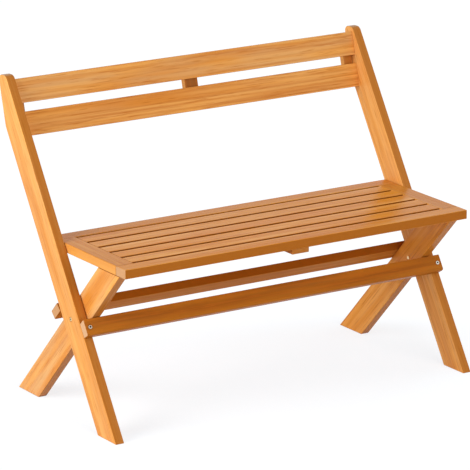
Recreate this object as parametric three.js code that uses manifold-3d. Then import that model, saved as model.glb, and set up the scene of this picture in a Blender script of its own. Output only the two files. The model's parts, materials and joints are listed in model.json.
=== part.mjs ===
// A folding garden bench of oiled hardwood: a slatted seat and back on crossing uprights and legs.
// Millimetres. X runs along the bench, left and right are as seen from the front, -Y is the front, +Z is up.
// The origin lies on the floor, in the middle of the bench's outer box.

import * as THREE from 'three';
import { mergeVertices } from 'three/addons/utils/BufferGeometryUtils.js';
import Module from 'manifold-3d';

const wasm = await Module();
wasm.setup();

// Overall sizes
const benchLength = 1120;
const topHeight = 851.8;
const seatHeight = 458.3;

// Play between pieces: boards that touch, and pins that turn in their holes
const contactGap = 0.3;
const runningGap = 0.1;

// The fold pivot, where each upright crosses a leg, as a share of the seat's height. Side views measure
// rearward from it.
const pivotHeightShare = 0.603;

// Uprights: they lean back from the front feet, and their rear edge turns steeper beside the back slats
const uprightThickness = 25.8;
const uprightWidth = 75.3;
const uprightLean = THREE.MathUtils.degToRad(32.4);
const kinkBelowTop = 134.9;
const backLean = THREE.MathUtils.degToRad(15.2);
const uprightNoseRadius = 18;
const uprightHeelRadius = 3;

// Legs: they lean forward inside the uprights, from the rear feet to the underside of the seat, and end a
// little behind its front edge
const legThickness = 25.7;
const legWidth = 75.8;
const legTopInset = 28.5;
const legOffsetRearward = 5.1;
const legSideGap = 2.4;

// Seat: two long rails, two side rails tenoned between them, and slats tenoned into the side rails
const boardThickness = 24.8;
const seatDepth = 376.2;
const seatSideGap = 1.7;
const railWidth = 44.9;
const sideRailWidth = 52;
const slatCount = 5;
const slatGap = 8.9;
const cleatWidth = 52.5;
const cleatThickness = 13.4;
const cleatEndInset = 1.5;

// Tenons, as shares of the boards they join
const tenonThicknessShare = 0.36;
const tenonWidthShare = 0.68;
const tenonLengthShare = 0.34;

// Back: two slats on three battens, lying in the plane of the uprights' steeper rear edge
const backSlatHeight = 64.6;
const backSlatGap = 22.7;
const backSlatThickness = 16;
const backSlatDrop = 11.2;
const battenThickness = 17.8;
const battenRearInset = 0.5;
const sideBattenWidth = 28.5;
const centreBattenWidth = 41;
const centreBattenOffset = 9;
const battenEndInset = 2;

// Stretchers: each also stops the crossing frame from opening further
const stretcherThickness = 25.3;
const frontStretcherHeight = 44.8;
const rearStretcherHeight = 41.6;
const frontStopRise = 4.1;
const rearStopPlay = 0.6;
const frontStretcherLowerRadius = 6;
const rearStretcherRadius = 3;

// Eased edges
const boardEase = 2;
const endEase = 1.5;

// Stretcher bolts, with a flat head and a hexagonal socket
const boltShankRadius = 3;
const boltHeadRadius = 6;
const boltHeadHeight = 2.4;
const boltHeadSink = 1.6;
const boltRimHeight = 1.6;
const boltReach = 40;
const boltSocketWidth = 4;
const boltSocketDepth = 1.5;

// Fold pivot: a bolt from outside, sunk in a round recess, screws into a barrel nut from inside
const recessRadius = 6;
const recessDepth = 4.6;
const pivotHeadRadius = 5;
const pivotHeadHeight = 4.2;
const pivotSocketDepth = 2.4;
const barrelRadius = 4;
const barrelReach = 8;
const barrelCapRadius = 4.8;
const barrelCapHeight = 2.2;
const barrelCapEase = 0.8;
const pivotSpacerRadius = 12;

// Seat hinge: a steel pin in each end of the rear rail, in a blind hole of the upright
const seatPinRadius = 4;
const seatPinInRail = 36;
const seatPinInUpright = 14;
const seatSpacerRadius = 9;

// How finely round forms are drawn, and how near two points must lie to be one
const roundSides = 28;
const hexSides = 6;
const cornerSteps = 3;
const noseSteps = 8;
const easeSteps = 2;
const weldDistance = 0.0001;

// Heights and places that follow from the sizes
const pivotHeight = seatHeight * pivotHeightShare;
const kinkHeight = topHeight - kinkBelowTop;
const halfLength = benchLength / 2;
const uprightInner = halfLength - uprightThickness;
const uprightMiddle = halfLength - uprightThickness / 2;
const legOuter = uprightInner - legSideGap;
const legInner = legOuter - legThickness;
const legMiddle = legOuter - legThickness / 2;
const legFront = legOffsetRearward - legWidth / 2;
const legRear = legOffsetRearward + legWidth / 2;
const seatUnderside = seatHeight - boardThickness;
const seatMiddle = seatHeight - boardThickness / 2;
const seatHalf = uprightInner - seatSideGap;
const seatRear = rearwardAt(seatMiddle, uprightWidth / 2, uprightLean);
const seatFront = seatRear - seatDepth;
const seatHingeRearward = seatRear - railWidth / 2;
const legLean = leanToReach(seatFront + legTopInset, seatUnderside - contactGap - pivotHeight, legFront);
const crossing = uprightLean + legLean;
const sideRailInner = seatHalf - sideRailWidth;
const slatWidth = (seatDepth - railWidth * 2 - slatGap * (slatCount + 1)) / slatCount;
const backFaceDepth = battenRearInset + battenThickness + contactGap + backSlatThickness;

// Finishes
const hardwood = { color: 0xd98f4a, roughness: 0.5, metalness: 0 };
const steel = { color: 0xc4c7c9, roughness: 0.28, metalness: 1 };

// Where a board that leans back through the pivot, or forward with a negative lean, has a given height.
// The first gives the place along the board and the second how far rearward of the pivot it is.
function alongAt(height, across, lean) {
  return (height - pivotHeight + across * Math.sin(lean)) / Math.cos(lean);
}

function rearwardAt(height, across, lean) {
  return across * Math.cos(lean) + alongAt(height, across, lean) * Math.sin(lean);
}

// The forward lean of a board whose edge, at a given offset from the pivot, passes through a place that lies
// rearward and up from the pivot.
function leanToReach(rearward, up, offset) {
  return Math.atan2(-rearward, up) + Math.asin(offset / Math.hypot(rearward, up));
}

// Solids are cut and joined in this form, and turned back to a geometry for their mesh.
function toSolid(geometry) {
  const bare = new THREE.BufferGeometry();
  bare.setAttribute('position', geometry.getAttribute('position'));
  bare.setIndex(geometry.getIndex());
  const merged = mergeVertices(bare, weldDistance);
  const index = Array.from(merged.getIndex().array);
  const triangles = [];
  for (let i = 0; i < index.length; i += 3) {
    const [a, b, c] = index.slice(i, i + 3);
    if (a !== b && b !== c && c !== a) {
      triangles.push(a, b, c);
    }
  }
  const mesh = new wasm.Mesh({
    numProp: 3,
    vertProperties: new Float32Array(merged.getAttribute('position').array),
    triVerts: new Uint32Array(triangles),
  });
  return new wasm.Manifold(mesh);
}

function toGeometry(solid) {
  const mesh = solid.getMesh();
  const geometry = new THREE.BufferGeometry();
  geometry.setAttribute('position', new THREE.BufferAttribute(mesh.vertProperties, mesh.numProp));
  geometry.setIndex(new THREE.BufferAttribute(mesh.triVerts, 1));
  const flat = geometry.toNonIndexed();
  flat.computeVertexNormals();
  return flat;
}

// One named piece of the bench.
function piece(name, solid, finish) {
  const mesh = new THREE.Mesh(toGeometry(solid), new THREE.MeshStandardMaterial(finish));
  mesh.name = name;
  return mesh;
}

// An outline whose corners, each given as x, y and a radius, are rounded where the radius isn't zero.
function roundedOutline(corners, steps = cornerSteps) {
  const points = [];
  corners.forEach(([x, y, radius], place) => {
    const corner = new THREE.Vector2(x, y);
    if (radius === 0) {
      points.push(corner);
      return;
    }
    const last = corners[(place + corners.length - 1) % corners.length];
    const next = corners[(place + 1) % corners.length];
    const towardLast = new THREE.Vector2(last[0], last[1]).sub(corner).normalize();
    const towardNext = new THREE.Vector2(next[0], next[1]).sub(corner).normalize();
    const half = Math.acos(towardLast.dot(towardNext)) / 2;
    const middle = towardLast.clone().add(towardNext).normalize();
    const centre = corner.clone().addScaledVector(middle, radius / Math.sin(half));
    const start = corner.clone().addScaledVector(towardLast, radius / Math.tan(half));
    const turn = (Math.PI - half * 2) * Math.sign(towardNext.cross(towardLast));
    for (let step = 0; step <= steps; step += 1) {
      points.push(start.clone().rotateAround(centre, (turn * step) / steps));
    }
  });
  return new THREE.Shape(points);
}

// A rectangle between two corners, each corner rounded alike.
function roundedRectangle(low, high, radius) {
  return roundedOutline([
    [low[0], low[1], radius],
    [high[0], low[1], radius],
    [high[0], high[1], radius],
    [low[0], high[1], radius],
  ]);
}

// Pushes an outline out to a board and eases the edges of its two faces.
function extruded(outline, length, ease) {
  return new THREE.ExtrudeGeometry(outline, {
    depth: length - ease * 2,
    bevelEnabled: ease > 0,
    bevelThickness: ease,
    bevelSize: ease,
    bevelOffset: -ease,
    bevelSegments: easeSteps,
  }).translate(0, 0, ease);
}

// A board across the bench, whose outline is seen from the side: rearward and up.
function boardAcross(outline, from, to, ease) {
  const turn = new THREE.Matrix4().makeBasis(
    new THREE.Vector3(0, 1, 0),
    new THREE.Vector3(0, 0, 1),
    new THREE.Vector3(1, 0, 0),
  );
  const board = extruded(outline, to - from, ease);
  board.applyMatrix4(turn);
  board.translate(from, 0, 0);
  return toSolid(board);
}

// A board from front to rear, whose outline is seen from the front: to the right and up.
function boardRearward(outline, from, to, ease) {
  const turn = new THREE.Matrix4().makeBasis(
    new THREE.Vector3(1, 0, 0),
    new THREE.Vector3(0, 0, 1),
    new THREE.Vector3(0, -1, 0),
  );
  const board = extruded(outline, to - from, ease);
  board.applyMatrix4(turn);
  board.translate(0, to, 0);
  return toSolid(board);
}

// A plain block between two corners, for tenons and the mortises that take them.
function block(low, high) {
  const [width, depth, height] = high.map((value, axis) => value - low[axis]);
  const middle = high.map((value, axis) => (value + low[axis]) / 2);
  return toSolid(new THREE.BoxGeometry(width, depth, height).translate(...middle));
}

// A round bar along X or along Y, at two given places on the other axes.
function barAcross(radius, from, to, rearward, up) {
  const bar = new THREE.CylinderGeometry(radius, radius, to - from, roundSides);
  bar.rotateZ(Math.PI / 2);
  bar.translate((from + to) / 2, rearward, up);
  return toSolid(bar);
}

function barRearward(radius, from, to, right, up) {
  const bar = new THREE.CylinderGeometry(radius, radius, to - from, roundSides);
  bar.translate(right, (from + to) / 2, up);
  return toSolid(bar);
}

// A round fastener turned about +Z from an outline of radius and height pairs.
function turned(pairs) {
  const points = pairs.map(([radius, height]) => new THREE.Vector2(radius, height));
  const lathed = new THREE.LatheGeometry(points, roundSides);
  lathed.rotateX(Math.PI / 2);
  return toSolid(lathed);
}

// The hexagonal socket of a bolt, cut down from a given height.
function hexSocket(width, top, depth) {
  const cornerRadius = width / 2 / Math.cos(Math.PI / hexSides);
  const socket = new THREE.CylinderGeometry(cornerRadius, cornerRadius, depth * 2, hexSides);
  socket.rotateX(Math.PI / 2);
  socket.translate(0, 0, top);
  return toSolid(socket);
}

// The place along the upright where the leg's front edge reaches the inner face of the front stretcher,
// and the place along the leg where the upright's rear edge reaches the inner face of the rear stretcher.
function frontStopAlong() {
  const inner = -uprightWidth / 2 - contactGap;
  return (legFront - contactGap - inner * Math.cos(crossing)) / Math.sin(crossing);
}

function rearStopAlong() {
  const inner = legRear + contactGap;
  return (inner * Math.cos(crossing) - uprightWidth / 2) / Math.sin(crossing);
}

// Middles of the stretchers, where their bolts pass
const frontStretcherTop = frontStopAlong() + frontStopRise;
const frontBoltAlong = frontStretcherTop - frontStretcherHeight / 2;
const rearStretcherTop = rearStopAlong() - rearStopPlay;
const rearBoltAlong = rearStretcherTop - rearStretcherHeight / 2;

// Upright, in the frame of the leaning uprights: Y is across the board and Z along it
function uprightOutline() {
  const half = uprightWidth / 2;
  const kinkAlong = alongAt(kinkHeight, half, uprightLean);
  const steeper = uprightLean - backLean;
  const rise = (topHeight - kinkHeight) / Math.cos(backLean);
  const heelAcross = half - rise * Math.sin(steeper);
  const heelAlong = kinkAlong + rise * Math.cos(steeper);
  const corners = [
    [-half, alongAt(0, -half, uprightLean), 0],
    [half, alongAt(0, half, uprightLean), 0],
    [half, kinkAlong, 0],
    [heelAcross, heelAlong, uprightHeelRadius],
    [-half, alongAt(topHeight, -half, uprightLean), uprightNoseRadius],
  ];
  return roundedOutline(corners, noseSteps);
}

function upright(side) {
  const name = side < 0 ? 'left_upright' : 'right_upright';
  const inner = side * uprightInner;
  const outer = side * halfLength;
  const board = boardAcross(uprightOutline(), Math.min(inner, outer), Math.max(inner, outer), boardEase);
  const pinUp = seatMiddle - pivotHeight;
  const lean = uprightLean;
  const pinAcross = seatHingeRearward * Math.cos(lean) - pinUp * Math.sin(lean);
  const pinAlong = seatHingeRearward * Math.sin(lean) + pinUp * Math.cos(lean);
  const boltHole = boltShankRadius + runningGap;
  const barrelHole = barrelRadius + runningGap;
  const barrelEnd = uprightInner + barrelReach + contactGap;
  const pinHole = seatPinRadius + runningGap;
  const pinEnd = uprightInner + seatPinInUpright + contactGap;
  const cuts = [
    holeAcross(side, boltHole, uprightInner - contactGap, halfLength + contactGap, 0, 0),
    holeAcross(side, barrelHole, uprightInner - contactGap, barrelEnd, 0, 0),
    holeAcross(side, recessRadius, halfLength - recessDepth, halfLength + contactGap, 0, 0),
    holeAcross(side, pinHole, uprightInner - contactGap, pinEnd, pinAcross, pinAlong),
    barRearward(
      boltHole,
      -uprightWidth / 2 - contactGap,
      -uprightWidth / 2 + boltReach + contactGap,
      side * uprightMiddle,
      frontBoltAlong,
    ),
  ];
  return piece(name, cuts.reduce((rest, cut) => rest.subtract(cut), board), hardwood);
}

// A hole along X on one side of the bench, between two distances from its middle.
function holeAcross(side, radius, from, to, across, along) {
  const ends = [side * from, side * to];
  return barAcross(radius, Math.min(...ends), Math.max(...ends), across, along);
}

// Leg, in the frame of the leaning legs
function leg(side) {
  const name = side < 0 ? 'left_leg' : 'right_leg';
  const top = seatUnderside - contactGap;
  const outline = roundedOutline([
    [legFront, alongAt(0, legFront, -legLean), 0],
    [legRear, alongAt(0, legRear, -legLean), 0],
    [legRear, alongAt(top, legRear, -legLean), 0],
    [legFront, alongAt(top, legFront, -legLean), 0],
  ]);
  const ends = [side * legInner, side * legOuter];
  const board = boardAcross(outline, Math.min(...ends), Math.max(...ends), boardEase);
  const boreRadius = barrelRadius + runningGap;
  const bore = holeAcross(side, boreRadius, legInner - contactGap, legOuter + contactGap, 0, 0);
  const boltHole = barRearward(
    boltShankRadius + runningGap,
    legRear - boltReach - contactGap,
    legRear + contactGap,
    side * legMiddle,
    rearBoltAlong,
  );
  return piece(name, board.subtract(bore).subtract(boltHole), hardwood);
}

// The space behind the legs' front edges, all along the bench, in the frame of the leaning uprights
function spaceOfLegs() {
  const front = legFront - contactGap;
  const space = new THREE.BoxGeometry(benchLength + contactGap * 2, legWidth, legWidth * 2);
  space.translate(0, front + legWidth / 2, 0);
  space.rotateX(crossing);
  return toSolid(space);
}

// Front stretcher: its top is planed to the slope of the legs, which rest on it when the bench stands open
function frontStretcher() {
  const inner = -uprightWidth / 2 - contactGap;
  const outer = inner - stretcherThickness;
  const bottom = frontStretcherTop - frontStretcherHeight;
  const outline = roundedOutline([
    [inner, bottom, boardEase],
    [inner, frontStretcherTop, 0],
    [outer, frontStretcherTop, boardEase],
    [outer, bottom, frontStretcherLowerRadius],
  ]);
  const board = boardAcross(outline, -halfLength, halfLength, endEase);
  const cuts = [spaceOfLegs()];
  [-1, 1].forEach((side) => {
    const right = side * uprightMiddle;
    const deep = outer + boltHeadSink;
    cuts.push(barRearward(boltShankRadius + runningGap, outer, inner + contactGap, right, frontBoltAlong));
    cuts.push(barRearward(boltHeadRadius + contactGap, outer - contactGap, deep, right, frontBoltAlong));
  });
  return piece('front_stretcher', cuts.reduce((rest, cut) => rest.subtract(cut), board), hardwood);
}

// Rear stretcher: its upper inner edge rests on the rear edges of the uprights
function rearStretcher() {
  const inner = legRear + contactGap;
  const outer = inner + stretcherThickness;
  const bottom = rearStretcherTop - rearStretcherHeight;
  const outline = roundedOutline([
    [inner, bottom, boardEase],
    [outer, bottom, rearStretcherRadius],
    [outer, rearStretcherTop, rearStretcherRadius],
    [inner, rearStretcherTop, 0],
  ]);
  const board = boardAcross(outline, -halfLength, halfLength, endEase);
  const cuts = [];
  [-1, 1].forEach((side) => {
    const right = side * legMiddle;
    const deep = outer - boltHeadSink;
    cuts.push(barRearward(boltShankRadius + runningGap, inner - contactGap, outer, right, rearBoltAlong));
    cuts.push(barRearward(boltHeadRadius + contactGap, deep, outer + contactGap, right, rearBoltAlong));
  });
  return piece('rear_stretcher', cuts.reduce((rest, cut) => rest.subtract(cut), board), hardwood);
}

// Stretcher bolt, its head up and the underside of the head at zero, laid in place by its caller
function stretcherBolt(name, rearward, head, along, right) {
  const ease = boltHeadHeight - boltRimHeight;
  const tip = boltHeadSink - stretcherThickness - boltReach;
  const body = turned([
    [0, tip],
    [boltShankRadius, tip],
    [boltShankRadius, contactGap],
    [boltHeadRadius, contactGap],
    [boltHeadRadius, contactGap + boltRimHeight],
    [boltHeadRadius - ease, contactGap + boltHeadHeight],
    [0, contactGap + boltHeadHeight],
  ]);
  const socket = hexSocket(boltSocketWidth, contactGap + boltHeadHeight, boltSocketDepth);
  const bolt = piece(name, body.subtract(socket), steel);
  bolt.rotation.x = (-rearward * Math.PI) / 2;
  bolt.position.set(right, head, along);
  return bolt;
}

// Pivot bolt and barrel nut, both turned about the pivot's axis
function pivotBolt(side) {
  const name = side < 0 ? 'left_pivot_bolt' : 'right_pivot_bolt';
  const seat = uprightThickness - recessDepth;
  const body = turned([
    [0, -legSideGap - legThickness / 2],
    [boltShankRadius, -legSideGap - legThickness / 2],
    [boltShankRadius, seat + contactGap],
    [pivotHeadRadius, seat + contactGap],
    [pivotHeadRadius, seat + contactGap + pivotHeadHeight - barrelCapEase],
    [pivotHeadRadius - barrelCapEase, seat + contactGap + pivotHeadHeight],
    [0, seat + contactGap + pivotHeadHeight],
  ]);
  const socket = hexSocket(boltSocketWidth, seat + contactGap + pivotHeadHeight, pivotSocketDepth);
  return layAcross(piece(name, body.subtract(socket), steel), side);
}

function barrelNut(side) {
  const name = side < 0 ? 'left_pivot_nut' : 'right_pivot_nut';
  const bottom = -legSideGap - legThickness - contactGap;
  const bore = boltShankRadius + runningGap;
  const boreEnd = -legSideGap - legThickness / 2 - contactGap;
  const body = turned([
    [0, bottom - barrelCapHeight],
    [barrelCapRadius - barrelCapEase, bottom - barrelCapHeight],
    [barrelCapRadius, bottom - barrelCapHeight + barrelCapEase],
    [barrelCapRadius, bottom],
    [barrelRadius, bottom],
    [barrelRadius, barrelReach],
    [bore, barrelReach],
    [bore, boreEnd],
    [0, boreEnd],
  ]);
  return layAcross(piece(name, body, steel), side);
}

// Spacer rings, between upright and leg and between upright and seat
function spacer(name, side, boreRadius, outerRadius, gap) {
  const ring = turned([
    [boreRadius, -contactGap],
    [boreRadius, contactGap - gap],
    [outerRadius, contactGap - gap],
    [outerRadius, -contactGap],
    [boreRadius, -contactGap],
  ]);
  return layAcross(piece(name, ring, steel), side);
}

// Lays a piece turned about +Z on the inner face of an upright, pointing out of the bench's side.
function layAcross(mesh, side) {
  mesh.rotation.y = (side * Math.PI) / 2;
  mesh.position.x = side * uprightInner;
  return mesh;
}

// Seat rails, with mortises for the tenons of the side rails
function longRail(front, rear, mortised) {
  const outline = roundedRectangle([front, seatUnderside], [rear, seatHeight], boardEase);
  const board = boardAcross(outline, -seatHalf, seatHalf, endEase);
  const depth = railWidth * tenonLengthShare + contactGap;
  const inner = mortised > 0 ? [rear - depth, rear + contactGap] : [front - contactGap, front + depth];
  const half = (sideRailWidth * tenonWidthShare) / 2 + contactGap;
  const up = (boardThickness * tenonThicknessShare) / 2 + contactGap;
  return [-1, 1].reduce((rest, side) => {
    const middle = side * (seatHalf - sideRailWidth / 2);
    return rest.subtract(
      block([middle - half, inner[0], seatMiddle - up], [middle + half, inner[1], seatMiddle + up]),
    );
  }, board);
}

function frontRail() {
  return piece('seat_front_rail', longRail(seatFront, seatFront + railWidth, 1), hardwood);
}

function rearRail() {
  const rail = longRail(seatRear - railWidth, seatRear, -1);
  const from = seatHalf - seatPinInRail - contactGap;
  const radius = seatPinRadius + runningGap;
  const bored = [-1, 1].reduce((rest, side) => {
    const hole = holeAcross(side, radius, from, seatHalf + contactGap, seatHingeRearward, seatMiddle);
    return rest.subtract(hole);
  }, rail);
  return piece('seat_rear_rail', bored, hardwood);
}

function sideRail(side) {
  const name = side < 0 ? 'seat_left_rail' : 'seat_right_rail';
  const ends = [side * sideRailInner, side * seatHalf];
  const low = Math.min(...ends);
  const high = Math.max(...ends);
  const from = seatFront + railWidth + contactGap;
  const to = seatRear - railWidth - contactGap;
  const outline = roundedRectangle([low, seatUnderside], [high, seatHeight], boardEase);
  const half = (sideRailWidth * tenonWidthShare) / 2;
  const up = (boardThickness * tenonThicknessShare) / 2;
  const middle = (low + high) / 2;
  const reach = railWidth * tenonLengthShare;
  const tenons = block(
    [middle - half, from - reach, seatMiddle - up],
    [middle + half, to + reach, seatMiddle + up],
  );
  const rail = boardRearward(outline, from, to, 0).add(tenons);
  const depth = sideRailWidth * tenonLengthShare + contactGap;
  const mouths = [side * (sideRailInner - contactGap), side * (sideRailInner + depth)];
  const mortised = slatPlaces().reduce((rest, [front, rear]) => {
    const centre = (front + rear) / 2;
    const wide = ((rear - front) * tenonWidthShare) / 2 + contactGap;
    const mortiseUp = up + contactGap;
    return rest.subtract(
      block(
        [Math.min(...mouths), centre - wide, seatMiddle - mortiseUp],
        [Math.max(...mouths), centre + wide, seatMiddle + mortiseUp],
      ),
    );
  }, rail);
  return piece(name, mortised, hardwood);
}

// Front and rear of each seat slat, from the front of the seat
function slatPlaces() {
  return Array.from({ length: slatCount }, (_, place) => {
    const front = seatFront + railWidth + slatGap + (slatWidth + slatGap) * place;
    return [front, front + slatWidth];
  });
}

function seatSlat([front, rear], place) {
  const outline = roundedRectangle([front, seatUnderside], [rear, seatHeight], boardEase);
  const half = sideRailInner - contactGap;
  const reach = half + sideRailWidth * tenonLengthShare;
  const centre = (front + rear) / 2;
  const wide = ((rear - front) * tenonWidthShare) / 2;
  const up = (boardThickness * tenonThicknessShare) / 2;
  const tenons = block([-reach, centre - wide, seatMiddle - up], [reach, centre + wide, seatMiddle + up]);
  return piece(`seat_slat_${place + 1}`, boardAcross(outline, -half, half, 0).add(tenons), hardwood);
}

// Cleat under the middle of the seat
function centreCleat() {
  const top = seatUnderside - contactGap;
  const outline = roundedRectangle([-cleatWidth / 2, top - cleatThickness], [cleatWidth / 2, top], boardEase);
  const cleat = boardRearward(outline, seatFront + cleatEndInset, seatRear - cleatEndInset, endEase);
  return piece('seat_centre_cleat', cleat, hardwood);
}

// Hinge pin of the seat
function seatPin(side) {
  const name = side < 0 ? 'left_seat_pin' : 'right_seat_pin';
  const pin = turned([
    [0, -seatSideGap - seatPinInRail],
    [seatPinRadius, -seatSideGap - seatPinInRail],
    [seatPinRadius, seatPinInUpright],
    [0, seatPinInUpright],
  ]);
  const laid = layAcross(piece(name, pin, steel), side);
  laid.position.y = seatHingeRearward;
  laid.position.z = seatMiddle;
  return laid;
}

function seatSpacer(side) {
  const name = side < 0 ? 'left_seat_spacer' : 'right_seat_spacer';
  const ring = spacer(name, side, seatPinRadius + runningGap, seatSpacerRadius, seatSideGap);
  ring.position.y = seatHingeRearward;
  ring.position.z = seatMiddle;
  return ring;
}

// Back slats and battens, in the plane of the uprights' steeper edge: Y = 0 is that edge, Z runs up along it
function backSlat(name, top) {
  const front = -backFaceDepth;
  const outline = roundedRectangle([front, top - backSlatHeight], [front + backSlatThickness, top], boardEase);
  const half = uprightInner - contactGap;
  return piece(name, boardAcross(outline, -half, half, 0), hardwood);
}

function backBatten(name, low, high, top) {
  const bottom = top - backSlatHeight * 2 - backSlatGap;
  const rear = -battenRearInset;
  const outline = roundedRectangle(
    [rear - battenThickness, bottom + battenEndInset],
    [rear, top - battenEndInset],
    boardEase,
  );
  return piece(name, boardAcross(outline, low, high, endEase), hardwood);
}

function backPanel() {
  const panel = new THREE.Group();
  panel.position.y = rearwardAt(kinkHeight, uprightWidth / 2, uprightLean);
  panel.position.z = kinkHeight;
  panel.rotation.x = -backLean;
  const slatTop = topHeight - backSlatDrop - kinkHeight;
  const top = (slatTop - backFaceDepth * Math.sin(backLean)) / Math.cos(backLean);
  const side = uprightInner - contactGap;
  const half = centreBattenWidth / 2;
  panel.add(
    backSlat('top_back_slat', top),
    backSlat('lower_back_slat', top - backSlatHeight - backSlatGap),
    backBatten('left_back_batten', -side, sideBattenWidth - side, top),
    backBatten('centre_back_batten', centreBattenOffset - half, centreBattenOffset + half, top),
    backBatten('right_back_batten', side - sideBattenWidth, side, top),
  );
  return panel;
}

// Frames that lean through the pivot
function leaningFrame(lean) {
  const frame = new THREE.Group();
  frame.position.z = pivotHeight;
  frame.rotation.x = -lean;
  return frame;
}

function uprightFrame() {
  const frame = leaningFrame(uprightLean);
  const head = -uprightWidth / 2 - contactGap - stretcherThickness + boltHeadSink;
  frame.add(frontStretcher());
  [-1, 1].forEach((side) => {
    const word = side < 0 ? 'left' : 'right';
    const bore = barrelRadius + runningGap;
    frame.add(
      upright(side),
      stretcherBolt(`${word}_front_bolt`, -1, head, frontBoltAlong, side * uprightMiddle),
      pivotBolt(side),
      barrelNut(side),
      spacer(`${word}_pivot_spacer`, side, bore, pivotSpacerRadius, legSideGap),
    );
  });
  return frame;
}

function legFrame() {
  const frame = leaningFrame(-legLean);
  const head = legRear + contactGap + stretcherThickness - boltHeadSink;
  frame.add(rearStretcher());
  [-1, 1].forEach((side) => {
    const word = side < 0 ? 'left' : 'right';
    frame.add(leg(side), stretcherBolt(`${word}_rear_bolt`, 1, head, rearBoltAlong, side * legMiddle));
  });
  return frame;
}

function seat() {
  const group = new THREE.Group();
  group.add(frontRail(), rearRail(), centreCleat());
  slatPlaces().forEach((ends, place) => group.add(seatSlat(ends, place)));
  [-1, 1].forEach((side) => group.add(sideRail(side), seatPin(side), seatSpacer(side)));
  return group;
}

// The whole bench, moved so that the origin is under the middle of its outer box
const bench = new THREE.Group();
bench.add(uprightFrame(), legFrame(), seat(), backPanel());
const box = new THREE.Box3().setFromObject(bench, true);
bench.position.y = -(box.min.y + box.max.y) / 2;

export default bench;
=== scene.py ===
"""A folding slatted garden bench of oiled acacia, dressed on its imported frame.

Sizes are in millimetres until a mesh is placed, and metres from there on. X runs along the bench, left and
right are as seen from the front, -Y is the front and +Z is up.
"""

import json
import logging
import math
from contextlib import contextmanager
from dataclasses import dataclass, field
from enum import Enum
from typing import Any, Callable, Iterable, Iterator, Sequence

import bmesh
import bpy
from mathutils import Euler, Matrix, Quaternion, Vector

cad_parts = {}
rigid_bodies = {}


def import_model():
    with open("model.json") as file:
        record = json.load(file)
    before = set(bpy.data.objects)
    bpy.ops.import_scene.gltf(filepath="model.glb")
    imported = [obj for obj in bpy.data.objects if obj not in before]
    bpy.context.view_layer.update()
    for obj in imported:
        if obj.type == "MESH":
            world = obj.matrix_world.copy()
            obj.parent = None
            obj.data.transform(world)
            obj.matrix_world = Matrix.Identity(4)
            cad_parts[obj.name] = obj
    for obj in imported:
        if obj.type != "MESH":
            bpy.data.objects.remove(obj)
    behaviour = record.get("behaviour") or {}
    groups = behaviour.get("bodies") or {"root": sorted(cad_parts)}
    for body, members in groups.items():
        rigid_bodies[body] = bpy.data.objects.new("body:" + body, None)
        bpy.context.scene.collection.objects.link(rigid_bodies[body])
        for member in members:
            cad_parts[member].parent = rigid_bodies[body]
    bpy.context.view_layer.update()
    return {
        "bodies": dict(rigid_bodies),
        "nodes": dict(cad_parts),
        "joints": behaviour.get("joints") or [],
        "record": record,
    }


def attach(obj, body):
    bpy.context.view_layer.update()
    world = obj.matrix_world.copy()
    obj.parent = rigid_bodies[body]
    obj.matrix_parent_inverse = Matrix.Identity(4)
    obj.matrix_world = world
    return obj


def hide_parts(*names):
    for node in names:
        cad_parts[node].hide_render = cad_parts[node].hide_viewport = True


log = logging.getLogger("garden_bench")

MM = 0.001
SIDES = (("left", -1), ("right", 1))
# The boards in the order in which they come out of the log.
SAWING_ORDER = (
    "left_upright",
    "right_upright",
    "left_leg",
    "right_leg",
    "front_stretcher",
    "rear_stretcher",
    "seat_front_rail",
    "seat_rear_rail",
    "seat_left_rail",
    "seat_right_rail",
    "seat_slat_1",
    "seat_slat_2",
    "seat_slat_3",
    "seat_slat_4",
    "seat_slat_5",
    "seat_centre_cleat",
    "top_back_slat",
    "lower_back_slat",
    "left_back_batten",
    "centre_back_batten",
    "right_back_batten",
)


def linear(hex_colour: str) -> tuple[float, float, float, float]:
    """Turns an sRGB hex colour into the linear colour that a shader reads.

    Args:
        hex_colour: six hex digits, such as "D98F4A".

    Returns:
        Linear red, green and blue, and an alpha of one.
    """
    channels = []
    for start in (0, 2, 4):
        value = int(hex_colour[start : start + 2], 16) / 255
        channels.append(value / 12.92 if value <= 0.04045 else ((value + 0.055) / 1.055) ** 2.4)
    return (channels[0], channels[1], channels[2], 1.0)


def add_node(
    tree: bpy.types.NodeTree,
    kind: str,
    settings: dict[str, Any] | None = None,
    inputs: dict[str | int, Any] | None = None,
) -> bpy.types.Node:
    """Adds one shader node with its settings, its socket values and its links.

    Args:
        tree: the material's or world's node tree.
        kind: the node's type name.
        settings: attributes to set on the node.
        inputs: for each input socket, a value or the output socket that feeds it.

    Returns:
        The new node.
    """
    made = tree.nodes.new(kind)
    for name, value in (settings or {}).items():
        setattr(made, name, value)
    for socket, value in (inputs or {}).items():
        if isinstance(value, bpy.types.NodeSocket):
            tree.links.new(value, made.inputs[socket])
        else:
            made.inputs[socket].default_value = value
    return made


def empty_material(name: str) -> bpy.types.Material:
    """Makes a material with no nodes, to be filled by its finish.

    Args:
        name: the material's name.

    Returns:
        The material.
    """
    material = bpy.data.materials.new(name)
    material.use_nodes = True
    material.node_tree.nodes.clear()
    return material


# A noise texture hardly leaves these values.
NOISE_LOW, NOISE_HIGH = 0.3, 0.7


class Cut(Enum):
    """How a board was sawn from the log, which gives its faces their figure."""

    PLAIN = "plain"
    QUARTER = "quarter"


@dataclass(frozen=True)
class Grain:
    """The size of a pattern that runs along a board, and how many finer layers lie in it."""

    length_mm: float
    width_mm: float
    detail: float = 1.0


@dataclass(frozen=True)
class Layer:
    """A colour laid over the wood, by a share that grows to its most as a pattern goes from low to high."""

    colour: str
    pattern: bpy.types.NodeSocket | float
    low: float
    high: float
    most: bpy.types.NodeSocket | float


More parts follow.
